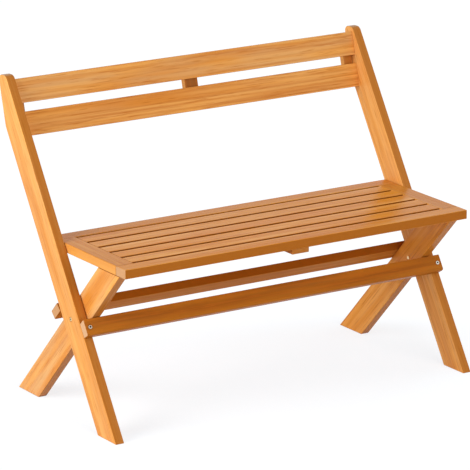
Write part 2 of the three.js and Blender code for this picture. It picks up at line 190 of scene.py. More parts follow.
@dataclass(frozen=True)
class OiledAcacia:
    """Acacia, planed and finished with honey-coloured oil.

    The eye sees straight grain with soft darker streaks, short pores, broad patches that are sandier or
    more honey-coloured than the rest, darker end grain, a satin sheen and edges where the oil has worn a
    little pale.
    """

    pale: str = "ECA856"
    warm: str = "DB8C3A"
    streak: str = "BE6A20"
    # The deep colour darkens the darker boards, and is also painted shade: on boards in shade, in the gaps
    # between slats and at seams round board ends.
    deep: str = "823E04"
    sandy: str = "D6AA78"
    honey: str = "E08E24"
    end: str = "AE7842"
    dry_end: str = "D8AE86"
    # The narrow faces' colour: their edge grain, drawn darker and redder in part as painted shade.
    narrow_face_grain_and_shade: str = "AE651C"
    worn: str = "EDB56C"
    streaks: Grain = Grain(length_mm=420, width_mm=6, detail=3)
    # Real pores are 0.2 mm wide and 2 mm long. They are drawn as coarse as they need to show.
    pores: Grain = Grain(length_mm=75, width_mm=2.5, detail=2)
    drift: Grain = Grain(length_mm=600, width_mm=30)
    patches: Grain = Grain(length_mm=260, width_mm=22)
    grain_contrast: float = 0.55
    ring_spacing_mm: float = 14.0
    ring_stretch: float = 0.12
    ring_wobble: float = 5.0
    ring_wobble_scale: float = 0.35
    ior: float = 1.5
    roughness: float = 0.23
    smoother: float = 0.05
    rougher: float = 0.08
    sheen: float = 0.09
    dulled_share: float = 0.9
    worn_share: float = 0.15
    relief_mm: float = 0.12
    relief_strength: float = 0.35
    pore_relief: float = 0.6
    # Where the boards lie in the log, in metres: from its heart, and each further along and across.
    plain_heart: tuple[float, float] = (0.035, 0.11)
    quarter_heart: tuple[float, float] = (0.16, 0.03)
    log_length: float = 3
    log_steps: tuple[float, float, float] = (0.731, 0.017, 0.009)
    log_rows: tuple[int, int] = (5, 7)

    def material(
        self,
        name: str,
        middle: Vector,
        turn: Euler,
        cut: Cut,
        tone: float,
        hue: float,
        gloss: float,
        place: int,
    ) -> bpy.types.Material:
        """Builds the wood for one board.

        Args:
            name: the material's name.
            middle: the middle of the board, in metres.
            turn: the board's turn in the bench, undone by the pattern so that the grain runs along it.
            cut: how the board was sawn.
            tone: how much darker than the usual board it is, from -1 to 1, in part as painted shade on
                boards in shade.
            hue: how sandy its patches are, or how honey-coloured where it is negative, from -1 to 1.
            gloss: how much its sheen is of the usual board's.
            place: the board's place in the sawing order, which moves it to another part of the log.

        Returns:
            The material.
        """
        material = empty_material(name)
        tree = material.node_tree
        place_in_bench = add_node(tree, "ShaderNodeTexCoord").outputs["Object"]
        turned = add_node(
            tree,
            "ShaderNodeMapping",
            {"vector_type": "TEXTURE"},
            {"Vector": place_in_bench, "Location": middle, "Rotation": turn},
        ).outputs["Vector"]
        heart = self.plain_heart if cut is Cut.PLAIN else self.quarter_heart
        log_place = (
            place * self.log_steps[0] % self.log_length,
            heart[0] + self.log_steps[1] * (place % self.log_rows[0]),
            -heart[1] - self.log_steps[2] * (place % self.log_rows[1]),
        )
        shifted = add_node(
            tree,
            "ShaderNodeVectorMath",
            {"operation": "ADD"},
            {0: turned, 1: log_place},
        ).outputs["Vector"]
        patterns = {"rings": self.rings(tree, shifted)}
        for kind in ("streaks", "pores", "drift", "patches"):
            patterns[kind] = self.drawn_out_noise(tree, shifted, getattr(self, kind))
        for mark in ("narrow_face_grain_and_light", "end_grain", "arris"):
            patterns[mark] = add_node(tree, "ShaderNodeAttribute", {"attribute_name": mark}).outputs["Fac"]
        rough = add_node(
            tree,
            "ShaderNodeMapRange",
            inputs={
                "Value": patterns["streaks"],
                "From Min": NOISE_LOW,
                "From Max": NOISE_HIGH,
                "To Min": self.roughness - self.smoother,
                "To Max": self.roughness + self.rougher,
            },
        ).outputs["Result"]
        relief = add_node(
            tree,
            "ShaderNodeMath",
            {"operation": "MULTIPLY_ADD"},
            {0: patterns["pores"], 1: self.pore_relief, 2: patterns["streaks"]},
        ).outputs["Value"]
        bump = add_node(
            tree,
            "ShaderNodeBump",
            inputs={"Strength": self.relief_strength, "Distance": self.relief_mm * MM, "Height": relief},
        ).outputs["Normal"]
        sheen = self.sheen * gloss
        dulled = add_node(
            tree,
            "ShaderNodeMath",
            {"operation": "MULTIPLY_ADD"},
            {0: patterns["arris"], 1: -sheen * self.dulled_share, 2: sheen},
        ).outputs["Value"]
        surface = add_node(
            tree,
            "ShaderNodeBsdfPrincipled",
            inputs={
                "Base Color": self.colour(tree, patterns, tone, hue),
                "Roughness": rough,
                "IOR": self.ior,
                "Specular IOR Level": dulled,
                "Normal": bump,
            },
        ).outputs["BSDF"]
        add_node(tree, "ShaderNodeOutputMaterial", inputs={"Surface": surface})
        return material

    def rings(self, tree: bpy.types.NodeTree, place: bpy.types.NodeSocket) -> bpy.types.NodeSocket:
        """Draws the growth rings about the heart of the log, which runs along X.

        Args:
            tree: the material's node tree.
            place: the place in the log.

        Returns:
            The ring pattern, from zero to one.
        """
        drawn_out = add_node(
            tree,
            "ShaderNodeVectorMath",
            {"operation": "MULTIPLY"},
            {0: place, 1: (self.ring_stretch, 1.0, 1.0)},
        ).outputs["Vector"]
        # A wave texture of scale s repeats its rings every 2 pi / (20 s) of a metre.
        scale = 2 * math.pi / 20 / (self.ring_spacing_mm * MM)
        return add_node(
            tree,
            "ShaderNodeTexWave",
            {"wave_type": "RINGS", "rings_direction": "X", "wave_profile": "SIN"},
            {
                "Vector": drawn_out,
                "Scale": scale,
                "Distortion": self.ring_wobble,
                "Detail Scale": self.ring_wobble_scale,
            },
        ).outputs["Fac"]

    def drawn_out_noise(
        self,
        tree: bpy.types.NodeTree,
        place: bpy.types.NodeSocket,
        grain: Grain,
    ) -> bpy.types.NodeSocket:
        """Draws noise whose grains are long along the board and narrow across it.

        Args:
            tree: the material's node tree.
            place: the place in the log.
            grain: how large a grain is.

        Returns:
            The noise, about a half on average.
        """
        width = grain.width_mm * MM
        scaled = add_node(
            tree,
            "ShaderNodeVectorMath",
            {"operation": "MULTIPLY"},
            {0: place, 1: (1 / (grain.length_mm * MM), 1 / width, 1 / width)},
        ).outputs["Vector"]
        return add_node(
            tree,
            "ShaderNodeTexNoise",
            inputs={
                "Vector": scaled,
                "Scale": 1.0,
                "Detail": grain.detail,
                "Roughness": self.grain_contrast,
            },
        ).outputs["Fac"]

    def colour(
        self,
        tree: bpy.types.NodeTree,
        patterns: dict[str, bpy.types.NodeSocket],
        tone: float,
        hue: float,
    ) -> bpy.types.NodeSocket:
        """Lays the wood's colours over each other.

        Args:
            tree: the material's node tree.
            patterns: the rings, the grain and the marks of the board's mesh, each by its name.
            tone: how much darker than the usual board this one is, in part as painted shade on boards in
                shade.
            hue: how sandy its patches are, or how honey-coloured where it is negative.

        Returns:
            The colour's socket.
        """
        # From 0 on the palest board to 1 on the darkest.
        shade = 0.5 + 0.5 * tone
        patch = self.sandy if hue > 0 else self.honey
        rubbed = add_node(
            tree,
            "ShaderNodeMath",
            {"operation": "MULTIPLY"},
            {0: patterns["arris"], 1: self.worn_share},
        ).outputs["Value"]
        layers = (
            Layer(self.warm, patterns["drift"], low=0.5 - 0.3 * shade, high=0.72 - 0.1 * shade, most=1.0),
            Layer(self.warm, patterns["rings"], low=0.35, high=0.95, most=0.55),
            # Darker boards, and painted shade on the boards that lie under the seat and behind the slats.
            Layer(self.deep, 1.0, low=0.0, high=1.0, most=0.75 * max(0.0, tone)),
            Layer(patch, patterns["patches"], low=NOISE_LOW, high=NOISE_HIGH, most=abs(hue)),
            Layer(self.streak, patterns["streaks"], low=0.46, high=0.7, most=0.36 + 0.3 * shade),
            Layer(self.streak, patterns["pores"], low=0.54, high=0.72, most=0.7),
            # The narrow faces: edge grain with painted shade; below zero, painted light; from one to two,
            # deeper painted shade in the slats' gaps, under the seat and at the seams round board ends.
            Layer(self.narrow_face_grain_and_shade, patterns["narrow_face_grain_and_light"], low=0.0, high=1.0, most=1.0),
            Layer(self.pale, patterns["narrow_face_grain_and_light"], low=0.0, high=-1.0, most=1.0),
            Layer(self.deep, patterns["narrow_face_grain_and_light"], low=1.0, high=2.0, most=1.0),
            Layer(self.end, patterns["end_grain"], low=0.0, high=1.0, most=0.8),
            Layer(self.dry_end, patterns["end_grain"], low=1.0, high=2.0, most=0.9),
            Layer(self.worn, patterns["streaks"], low=0.35, high=0.7, most=rubbed),
        )
        colour = linear(self.pale)
        for layer in layers:
            share = add_node(
                tree,
                "ShaderNodeMapRange",
                {"interpolation_type": "SMOOTHSTEP"},
                {
                    "Value": layer.pattern,
                    "From Min": layer.low,
                    "From Max": layer.high,
                    "To Min": 0.0,
                    "To Max": layer.most,
                },
            ).outputs["Result"]
            colour = add_node(
                tree,
                "ShaderNodeMix",
                {"data_type": "RGBA"},
                {"Factor": share, 6: colour, 7: linear(layer.colour)},
            ).outputs[2]
        return colour


@dataclass(frozen=True)
class ZincPlatedSteel:
    """Steel fasteners, turned and bright zinc plated, which look pale grey with a soft shine.

    The sockets of their heads are painted dark, as painted shade.
    """

    name: str = "zinc_plated_steel"
    bright: str = "F4F2E8"
    dull: str = "D8D4C8"
    # The colour of the sockets' faces, painted shade in the recess.
    socket_shade: str = "3E3A30"
    roughness: float = 0.3
    smoother: float = 0.06
    rougher: float = 0.1
    spangle_mm: float = 1.6
    scratch_mm: float = 0.25
    relief_mm: float = 0.02
    relief_strength: float = 0.15

    def material(self) -> bpy.types.Material:
        """Builds the metal.

        Returns:
            The material.
        """
        material = empty_material(self.name)
        tree = material.node_tree
        place = add_node(tree, "ShaderNodeTexCoord").outputs["Object"]
        spangle, scratch = (
            add_node(
                tree,
                "ShaderNodeTexNoise",
                inputs={"Vector": place, "Scale": 1 / (size * MM), "Detail": detail},
            ).outputs["Fac"]
            for size, detail in ((self.spangle_mm, 2.0), (self.scratch_mm, 3.0))
        )
        sunk = add_node(tree, "ShaderNodeAttribute", {"attribute_name": "sunk"}).outputs["Fac"]
        colour = linear(self.bright)
        for share, over in ((spangle, self.dull), (sunk, self.socket_shade)):
            colour = add_node(
                tree,
                "ShaderNodeMix",
                {"data_type": "RGBA"},
                {"Factor": share, 6: colour, 7: linear(over)},
            ).outputs[2]
        rough = add_node(
            tree,
            "ShaderNodeMapRange",
            inputs={
                "Value": spangle,
                "From Min": NOISE_LOW,
                "From Max": NOISE_HIGH,
                "To Min": self.roughness - self.smoother,
                "To Max": self.roughness + self.rougher,
            },
        ).outputs["Result"]
        bump = add_node(
            tree,
            "ShaderNodeBump",
            inputs={"Strength": self.relief_strength, "Distance": self.relief_mm * MM, "Height": scratch},
        ).outputs["Normal"]
        surface = add_node(
            tree,
            "ShaderNodeBsdfPrincipled",
            inputs={"Base Color": colour, "Metallic": 1.0, "Roughness": rough, "Normal": bump},
        ).outputs["BSDF"]
        add_node(tree, "ShaderNodeOutputMaterial", inputs={"Surface": surface})
        return material


@dataclass
class BenchPlan:
    """The bench's sizes in millimetres, and the frames in which its boards are laid out."""

    length: float = 1120
    top_height: float = 851.8
    seat_height: float = 458.3
    contact_gap: float = 0.3
    running_gap: float = 0.1
    upright_thickness: float = 25.8
    upright_width: float = 75.3
    upright_lean: float = math.radians(32.4)
    kink_below_top: float = 134.9
    back_lean: float = math.radians(15.2)
    leg_thickness: float = 25.7
    leg_width: float = 75.8
    leg_top_inset: float = 28.5
    leg_offset: float = 5.1
    leg_side_gap: float = 2.4
    board_thickness: float = 24.8
    rail_width: float = 44.9
    seat_depth: float = 376.2
    seat_side_gap: float = 1.7
    bolt_radius: float = 3
    barrel_radius: float = 4
    pin_radius: float = 4
    pivot: Vector = field(default_factory=Vector)

    def __post_init__(self) -> None:
        """Works out the places that follow from the sizes."""
        self.half = self.length / 2
        self.upright_inner = self.half - self.upright_thickness
        self.upright_middle = self.half - self.upright_thickness / 2
        self.leg_outer = self.upright_inner - self.leg_side_gap
        self.leg_inner = self.leg_outer - self.leg_thickness
        self.leg_middle = self.leg_outer - self.leg_thickness / 2
        self.leg_front = self.leg_offset - self.leg_width / 2
        self.leg_rear = self.leg_offset + self.leg_width / 2
        self.seat_under = self.seat_height - self.board_thickness
        self.seat_middle = self.seat_height - self.board_thickness / 2
        self.seat_half = self.upright_inner - self.seat_side_gap
        self.seat_rear = self.rearward_at(self.seat_middle, self.upright_width / 2, self.upright_lean)
        self.seat_front = self.seat_rear - self.seat_depth
        self.seat_hinge = self.seat_rear - self.rail_width / 2
        rearward = self.seat_front + self.leg_top_inset
        up = self.seat_under - self.contact_gap - self.pivot.z
        self.leg_lean = math.atan2(-rearward, up) + math.asin(self.leg_front / math.hypot(rearward, up))
        self.crossing = self.upright_lean + self.leg_lean
        self.kink_height = self.top_height - self.kink_below_top

    def along_at(self, height: float, across: float, lean: float) -> float:
        """Where a board that leans back through the pivot has a given height.

        Args:
            height: the height above the floor.
            across: the offset from the pivot across the board, rearward.
            lean: the board's lean from upright, negative where it leans forward.

        Returns:
            The place along the board, from the pivot.
        """
        return (height - self.pivot.z + across * math.sin(lean)) / math.cos(lean)

    def rearward_at(self, height: float, across: float, lean: float) -> float:
        """How far rearward of the pivot such a place lies.

        Args:
            height: the height above the floor.
            across: the offset from the pivot across the board, rearward.
            lean: the board's lean from upright.

        Returns:
            The distance rearward of the pivot.
        """
        return across * math.cos(lean) + self.along_at(height, across, lean) * math.sin(lean)

    def leaning(self, lean: float) -> Matrix:
        """The frame that leans through the pivot, with Y across its boards and Z along them."""
        return Matrix.Translation(self.pivot) @ Matrix.Rotation(-lean, 4, "X")

    @property
    def seat_frame(self) -> Matrix:
        """The seat's frame, level and on the floor below the pivot."""
        return Matrix.Translation((0, self.pivot.y, 0))

    @property
    def panel_frame(self) -> Matrix:
        """Finds the back's frame, in the plane of the uprights' steeper rear edge.

        Returns:
            The frame, whose Z runs up the back.
        """
        rearward = self.rearward_at(self.kink_height, self.upright_width / 2, self.upright_lean)
        place = Matrix.Translation((0, self.pivot.y + rearward, self.kink_height))
        return place @ Matrix.Rotation(-self.back_lean, 4, "X")


# A face looks in a direction, and a point lies at a place, where it does so as nearly as these say.
SQUARE_ON = 0.999
NEAR = 0.01
# An edge is a corner's where its middle lies this close to the corner.
CORNER_REACH = 1.0
# An edge that turns by less than this is shaded smooth.
SMOOTH_BELOW = math.radians(32)
# How far a cutter stands out of what it cuts.
OVERCUT = 1.0
# How many facets an eased edge, the rim of a fastener's head and a round bar have.
EASE_STEPS = 3
RIM_STEPS = 4
ROUND_SIDES = 48
# The material slot that tells a board's eased edges until its mesh is marked.
ARRIS_SLOT = 1

# Chooses the faces or edges of a mesh that is open for editing.
Pick = Callable[[bmesh.types.BMesh], Iterable[Any]]


def facing(direction: Sequence[float]) -> Pick:
    """Picks the faces that look in a direction."""
    return lambda mesh: [f for f in mesh.faces if f.normal.dot(Vector(direction)) > SQUARE_ON]


def rim_at(height: float) -> Pick:
    """Picks the edges that lie at a height."""
    return lambda mesh: [e for e in mesh.edges if all(abs(v.co.z - height) < NEAR for v in e.verts)]


def select_only(obj: bpy.types.Object) -> None:
    """Selects one object and nothing else.

    Args:
        obj: the object.
    """
    bpy.ops.object.select_all(action="DESELECT")
    obj.select_set(True)
    bpy.context.view_layer.objects.active = obj


@contextmanager
def editing(obj: bpy.types.Object, pick: Pick) -> Iterator[None]:
    """Opens a mesh for editing with the picked faces or edges selected, and closes it again.

    Args:
        obj: the mesh object.
        pick: chooses the faces or edges to select.

    Yields:
        Nothing, while the mesh is open.
    """
    select_only(obj)
    bpy.ops.object.mode_set(mode="EDIT")
    bpy.ops.mesh.select_mode(type="VERT")
    bpy.ops.mesh.select_mode(type="EDGE")
    bpy.ops.mesh.select_all(action="DESELECT")
    mesh = bmesh.from_edit_mesh(obj.data)
    picked = list(pick(mesh))
    for part in picked:
        part.select = True
    mesh.select_flush_mode()
    by_face = isinstance(picked[0], bmesh.types.BMFace)
    bmesh.update_edit_mesh(obj.data)
    if by_face:
        bpy.ops.mesh.select_mode(type="FACE")
    yield
    bpy.ops.object.mode_set(mode="OBJECT")


def push(along: Sequence[float]) -> None:
    """Extrudes the selected face along a vector."""
    bpy.ops.mesh.extrude_region_move(TRANSFORM_OT_translate={"value": along})


def step(inset: float, along: Sequence[float]) -> None:
    """Insets the selected face and extrudes its middle along a vector."""
    bpy.ops.mesh.inset(thickness=inset, depth=0)
    push(along)


def settle(obj: bpy.types.Object, name: str) -> bpy.types.Object:
    """Names an object and writes its place, turn and size into its mesh.

    Args:
        obj: the object.
        name: its name, and its mesh's.

    Returns:
        The object.
    """
    obj.name = name
    obj.data.name = name
    select_only(obj)
    bpy.ops.object.transform_apply(location=True, rotation=True, scale=True)
    return obj


def add_block(name: str, low: Sequence[float], high: Sequence[float]) -> bpy.types.Object:
    """Adds a block between two corners.

    Args:
        name: the object's name.
        low: its lowest corner.
        high: its highest corner.

    Returns:
        The block, with its place and size in its mesh.
    """
    bpy.ops.object.select_all(action="DESELECT")
    bpy.ops.mesh.primitive_cube_add(size=1, location=[(a + b) / 2 for a, b in zip(low, high)])
    block = bpy.context.object
    block.scale = [b - a for a, b in zip(low, high)]
    return settle(block, name)


def add_bar(
    name: str,
    radius: float,
    low: Sequence[float],
    high: Sequence[float],
    sides: int = ROUND_SIDES,
) -> bpy.types.Object:
    """Adds a round bar, or one with a few flat sides, between two points.

    Args:
        name: the object's name.
        radius: its radius.
        low: the middle of its first end.
        high: the middle of its other end.
        sides: how many sides it has.

    Returns:
        The bar, with its place in its mesh.
    """
    along = Vector(high) - Vector(low)
    bpy.ops.object.select_all(action="DESELECT")
    bpy.ops.mesh.primitive_cylinder_add(
        vertices=sides,
        radius=radius,
        depth=along.length,
        location=(Vector(low) + Vector(high)) / 2,
        rotation=Vector((0, 0, 1)).rotation_difference(along).to_euler(),
    )
    return settle(bpy.context.object, name)


def apply_modifier(obj: bpy.types.Object, kind: str, settings: dict[str, Any]) -> None:
    """Puts one modifier on an object and applies it.

    Args:
        obj: the object.
        kind: the modifier's type.
        settings: its settings.
    """
    select_only(obj)
    modifier = obj.modifiers.new(kind.lower(), kind)
    for name, value in settings.items():
        setattr(modifier, name, value)
    bpy.ops.object.modifier_apply(modifier=modifier.name)


def cut_away(obj: bpy.types.Object, cutter: bpy.types.Object) -> None:
    """Cuts one shape out of another and removes the cutter.

    Args:
        obj: what is cut.
        cutter: the shape that is cut away.
    """
    apply_modifier(obj, "BOOLEAN", {"operation": "DIFFERENCE", "solver": "EXACT", "object": cutter})
    bpy.data.objects.remove(cutter)


def pointing(place: Sequence[float], direction: Sequence[float]) -> Matrix:
    """The frame at a place whose +Z points in a direction."""
    turn = Vector((0, 0, 1)).rotation_difference(Vector(direction)).to_matrix().to_4x4()
    return Matrix.Translation(Vector(place)) @ turn


def install(
    obj: bpy.types.Object,
    frame: Matrix,
    material: bpy.types.Material,
    body: str,
    node: str | None = None,
) -> None:
    """Places a finished piece in the bench and dresses it.

    It is shaded smooth except at its sharp edges, and its large faces are left flat.

    Args:
        obj: the piece, in its own frame and in millimetres.
        frame: that frame in the bench, in millimetres.
        material: its material.
        body: the body that it rides on.
        node: the CAD node that it stands for, if any.
    """
    obj.data.materials.clear()
    obj.data.materials.append(material)
    obj.data.transform(Matrix.Scale(MM, 4) @ frame)
    obj.data.update()
    select_only(obj)
    bpy.ops.object.shade_smooth_by_angle(angle=SMOOTH_BELOW)
    apply_modifier(obj, "WEIGHTED_NORMAL", {"mode": "FACE_AREA", "keep_sharp": True})
    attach(obj, body)
    if node:
        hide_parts(node)
    log.info("%s: %d faces", obj.name, len(obj.data.polygons))


class Axis(Enum):
    """The direction in which a board's grain runs, in its own frame."""

    X = 0
    Y = 1
    Z = 2


@dataclass
class Board:
    """One board, sawn from a block, eased at its edges and oiled.

    The narrow faces of a board show its edge grain, drawn darker in part as painted shade and paler on some
    boards as painted light, and its ends show end grain. The eased edges round an end may be painted dark,
    as painted shade at the seam where the board meets another.
    """

    node: str
    body: str
    low: tuple[float, float, float]
    high: tuple[float, float, float]
    frame: Matrix
    grain: Axis
    cut: Cut = Cut.PLAIN
    tone: float = 0.0
    hue: float = 0.2
    gloss: float = 1.0
    # Above zero the narrow faces are drawn darker, in part as painted shade; below zero paler, as painted
    # light.
    edge_tone: float = 0.7
    edge_from: float = 0.72
    end_tone: float = 1.0
    end_from: float = 0.6
    # Painted shade on the eased edges round an end, where the board meets another.
    end_arris_shade: float = 0.0
    end_arris_shade_from: float = 0.25
    eased_above: float = math.radians(28)

    def __post_init__(self) -> None:
        """Adds the block from which the board is sawn, with slots for its faces and its arrises."""
        self.obj = add_block(self.node + "_board", self.low, self.high)
        self.obj.data.materials.append(None)
        self.obj.data.materials.append(None)
        sizes = [high - low for low, high in zip(self.low, self.high)]
        others = [axis for axis in range(3) if axis != self.grain.value]
        self.thin, self.wide = sorted(others, key=lambda axis: sizes[axis])

    def saw(self, point: Sequence[float], outward: Sequence[float]) -> None:
        """Saws off what lies outward of a plane.

        Args:
            point: a point on the plane.
            outward: the plane's direction, towards what comes off.
        """
        with editing(self.obj, lambda mesh: mesh.faces):
            bpy.ops.mesh.bisect(plane_co=point, plane_no=outward, use_fill=True, clear_outer=True)

    def round_corner(self, across: float, along: float, radius: float, steps: int) -> None:
        """Rounds a corner of the board's outline in the YZ plane.

        Args:
            across: the corner's place in Y.
            along: its place in Z.
            radius: how far the rounding reaches along the faces.
            steps: how many facets it has.
        """

        def at_corner(edge: bmesh.types.BMEdge) -> bool:
            """Tells whether an edge's middle lies at the corner."""
            middle = (edge.verts[0].co + edge.verts[1].co) / 2
            return math.hypot(middle.y - across, middle.z - along) < CORNER_REACH

        with editing(self.obj, lambda mesh: [edge for edge in mesh.edges if at_corner(edge)]):
            bpy.ops.mesh.bevel(offset=radius, segments=steps, affect="EDGES", profile=0.5)

    def ease(self, width: float) -> None:
        """Eases all sharp edges with a small rounding.

        Args:
            width: how wide the rounding is.
        """
        settings = {"width": width, "segments": EASE_STEPS, "limit_method": "ANGLE", "material": ARRIS_SLOT}
        apply_modifier(self.obj, "BEVEL", {**settings, "angle_limit": self.eased_above})

    def ease_along(self, width: float) -> None:
        """Eases the long edges alone, as on a board with a shoulder at its end.

        Args:
            width: how wide the rounding is.
        """

        def is_long(edge: bmesh.types.BMEdge) -> bool:
            """Tells whether an edge runs with the grain at one of the board's four corners.

            Args:
                edge: the edge.

            Returns:
                Whether it is one to ease.
            """
            start, end = (vert.co for vert in edge.verts)
            sides = (self.thin, self.wide)
            at_corner = all(min(start[i] - self.low[i], self.high[i] - start[i]) < NEAR for i in sides)
            return at_corner and abs((end - start).normalized()[self.grain.value]) > SQUARE_ON

        with editing(self.obj, lambda mesh: [edge for edge in mesh.edges if is_long(edge)]):
            bpy.ops.mesh.bevel(offset=width, segments=EASE_STEPS, affect="EDGES", material=ARRIS_SLOT)

    def tenon(self, inset: float, length: float) -> None:
        """Gives both ends of a board whose edges are still square a tenon.

        Args:
            inset: how far the tenon's cheeks lie inside the board's faces.
            length: how long the tenon is.
        """
        for sign in (-1, 1):
            outward = [0.0, 0.0, 0.0]
            outward[self.grain.value] = sign
            with editing(self.obj, facing(outward)):
                step(inset, [length * share for share in outward])

    def mortise(self, low: Sequence[float], high: Sequence[float]) -> None:
        """Cuts a rectangular hole between two corners."""
        cut_away(self.obj, add_block("mortise", low, high))

    def bore(
        self,
        radius: float,
        mouth: Sequence[float],
        end: Sequence[float],
        flare: float,
    ) -> None:
        """Bores a round hole whose rim is broken by a small chamfer.

        Args:
            radius: the hole's radius.
            mouth: the middle of its mouth, on the board's face.
            end: the middle of its end.
            flare: how wide the chamfer at the mouth is.
        """
        inward = (Vector(end) - Vector(mouth)).normalized()
        drill = add_bar("drill", radius, Vector(mouth) + inward * flare, end)
        with editing(drill, facing(-inward)):
            push(-inward * flare * 2)
            wide = (radius + flare * 2) / radius
            outside = Vector(mouth) - inward * flare
            bpy.ops.transform.resize(value=(wide, wide, wide), center_override=outside)
        cut_away(self.obj, drill)

    def mark(self) -> None:
        """Marks the ends, the narrow faces and the eased edges, for the wood's colour to read."""
        mesh = self.obj.data
        end = mesh.attributes.new("end_grain", "FLOAT", "FACE")
        edge = mesh.attributes.new("narrow_face_grain_and_light", "FLOAT", "FACE")
        arris = mesh.attributes.new("arris", "FLOAT", "POINT")
        inner = [1.0] * len(mesh.vertices)
        for polygon in mesh.polygons:
            along = abs(polygon.normal[self.grain.value])
            at_end = along > self.end_from
            narrow = abs(polygon.normal[self.wide]) > self.edge_from and not at_end
            on_arris = polygon.material_index == ARRIS_SLOT
            tones = (self.end_tone if at_end else 0.0, self.edge_tone if narrow else 0.0)
            # The eased edges round an end are painted dark, as painted shade at the seam.
            if self.end_arris_shade and on_arris and along > self.end_arris_shade_from:
                tones = (0.0, self.end_arris_shade)
            end.data[polygon.index].value, edge.data[polygon.index].value = tones
            if not on_arris:
                for vertex in polygon.vertices:
                    inner[vertex] = 0.0
        arris.data.foreach_set("value", inner)
        mesh.polygons.foreach_set("material_index", [0] * len(mesh.polygons))

    def finish(self, wood: OiledAcacia) -> None:
        """Oils the board and lays it in the bench.

        Args:
            wood: the finish.
        """
        self.mark()
        turns = {
            Axis.X: Matrix.Identity(3),
            Axis.Y: Matrix.Rotation(math.pi / 2, 3, "Z"),
            Axis.Z: Matrix.Rotation(-math.pi / 2, 3, "Y"),
        }
        turn = (self.frame.to_3x3() @ turns[self.grain]).to_euler("XYZ")
        middle = self.frame @ ((Vector(self.low) + Vector(self.high)) / 2) * MM
        name = self.node + "_acacia"
        place = SAWING_ORDER.index(self.node)
        material = wood.material(name, middle, turn, self.cut, self.tone, self.hue, self.gloss, place)
        install(self.obj, self.frame, material, self.body, self.node)


def fit(
    fastener: bpy.types.Object,
    name: str,
    frame: Matrix,
    steel: bpy.types.Material,
    body: str,
    node: str | None = None,
) -> None:
    """Fits a copy of a fastener, with a mesh of its own, in the bench.

    Args:
        fastener: the fastener that is copied.
        name: the copy's name.
        frame: the copy's frame in the bench.
        steel: its material.
        body: the body that it rides on.
        node: the CAD node that it stands for, if any.
    """
    twin = fastener.copy()
    twin.data = fastener.data.copy()
    twin.name = name
    twin.data.name = name
    bpy.context.collection.objects.link(twin)
    install(twin, frame, steel, body, node)


@dataclass
class SocketBolt:
    """A steel bolt with a hexagonal socket, drawn with its head up and the head's underside at zero."""

    head_radius: float
    head_height: float
    shank_radius: float
    shank_length: float
    socket_width: float
    socket_depth: float
    head_ease: float = 0.8
    lift: float = 0.3

    def model(self, name: str) -> bpy.types.Object:
        """Models the bolt.

        Args:
            name: the object's name.

        Returns:
            The bolt, in millimetres, standing on the XY plane.
        """
        top = self.lift + self.head_height
        bolt = add_bar(name, self.head_radius, (0, 0, self.lift), (0, 0, top))
        with editing(bolt, rim_at(top)):
            bpy.ops.mesh.bevel(offset=self.head_ease, segments=RIM_STEPS, affect="EDGES")
        with editing(bolt, facing((0, 0, -1))):
            step(self.head_radius - self.shank_radius, (0, 0, -self.shank_length - self.lift))
        corner = self.socket_width / 2 / math.cos(math.pi / 6)
        floor = top - self.socket_depth
        cut_away(bolt, add_bar("socket", corner, (0, 0, floor), (0, 0, top + OVERCUT), 6))
        # The socket's faces are marked, for the steel to paint them dark as painted shade.
        sunk = bolt.data.attributes.new("sunk", "FLOAT", "FACE")
        for face in bolt.data.polygons:
            below_top = floor - NEAR < face.center.z < top - NEAR
            sunk.data[face.index].value = float(below_top and face.center.xy.length < corner)
        return bolt


@dataclass
class BarrelNut:
    """A round nut with a low cap, drawn with its cap down and the leg's inner face at zero."""

    length: float
    bore_depth: float
    cap_radius: float = 4.8
    cap_height: float = 2.2
    cap_ease: float = 0.8
    barrel_radius: float = 4.0
    bore_radius: float = 3.1
    lift: float = 0.3

    def model(self, name: str) -> bpy.types.Object:
        """Models the nut.

        Args:
            name: the object's name.

        Returns:
            The nut, in millimetres.
        """
        bottom = -self.lift - self.cap_height
        nut = add_bar(name, self.cap_radius, (0, 0, bottom), (0, 0, -self.lift))
        with editing(nut, rim_at(bottom)):
            bpy.ops.mesh.bevel(offset=self.cap_ease, segments=RIM_STEPS, affect="EDGES")
        with editing(nut, facing((0, 0, 1))):
            step(self.cap_radius - self.barrel_radius, (0, 0, self.length + self.lift))
            step(self.barrel_radius - self.bore_radius, (0, 0, -self.bore_depth))
        return nut


@dataclass
class WoodScrew:
    """A countersunk steel screw with a cross recess, drawn with its head up and flush at zero."""

    head_radius: float = 3.6
    head_rim: float = 0.2
    head_depth: float = 2.4
    head_sides: int = 32
    neck_radius: float = 1.7
    length: float = 14
    crown: float = 0.25
    crown_share: float = 0.3
    recess_width: float = 0.9
    recess_span: float = 3.6
    recess_depth: float = 1.4

    def model(self, name: str) -> bpy.types.Object:
        """Models the screw.

        Args:
            name: the object's name.

        Returns:
            The screw, in millimetres.
        """
        screw = add_bar(name, self.head_radius, (0, 0, -self.head_rim), (0, 0, 0), self.head_sides)
        with editing(screw, facing((0, 0, -1))):
            push((0, 0, -self.head_depth))
            shrink = self.neck_radius / self.head_radius
            bpy.ops.transform.resize(value=(shrink, shrink, 1), center_override=(0, 0, 0))
            push((0, 0, self.head_depth - self.length))
        with editing(screw, facing((0, 0, 1))):
            bpy.ops.mesh.inset(thickness=self.head_radius * self.crown_share, depth=self.crown)
        half = self.recess_span / 2
        thin = self.recess_width / 2
        for across, along in ((half, thin), (thin, half)):
            low = (-across, -along, -self.recess_depth)
            cut_away(screw, add_block("recess", low, (across, along, self.crown + OVERCUT)))
        return screw


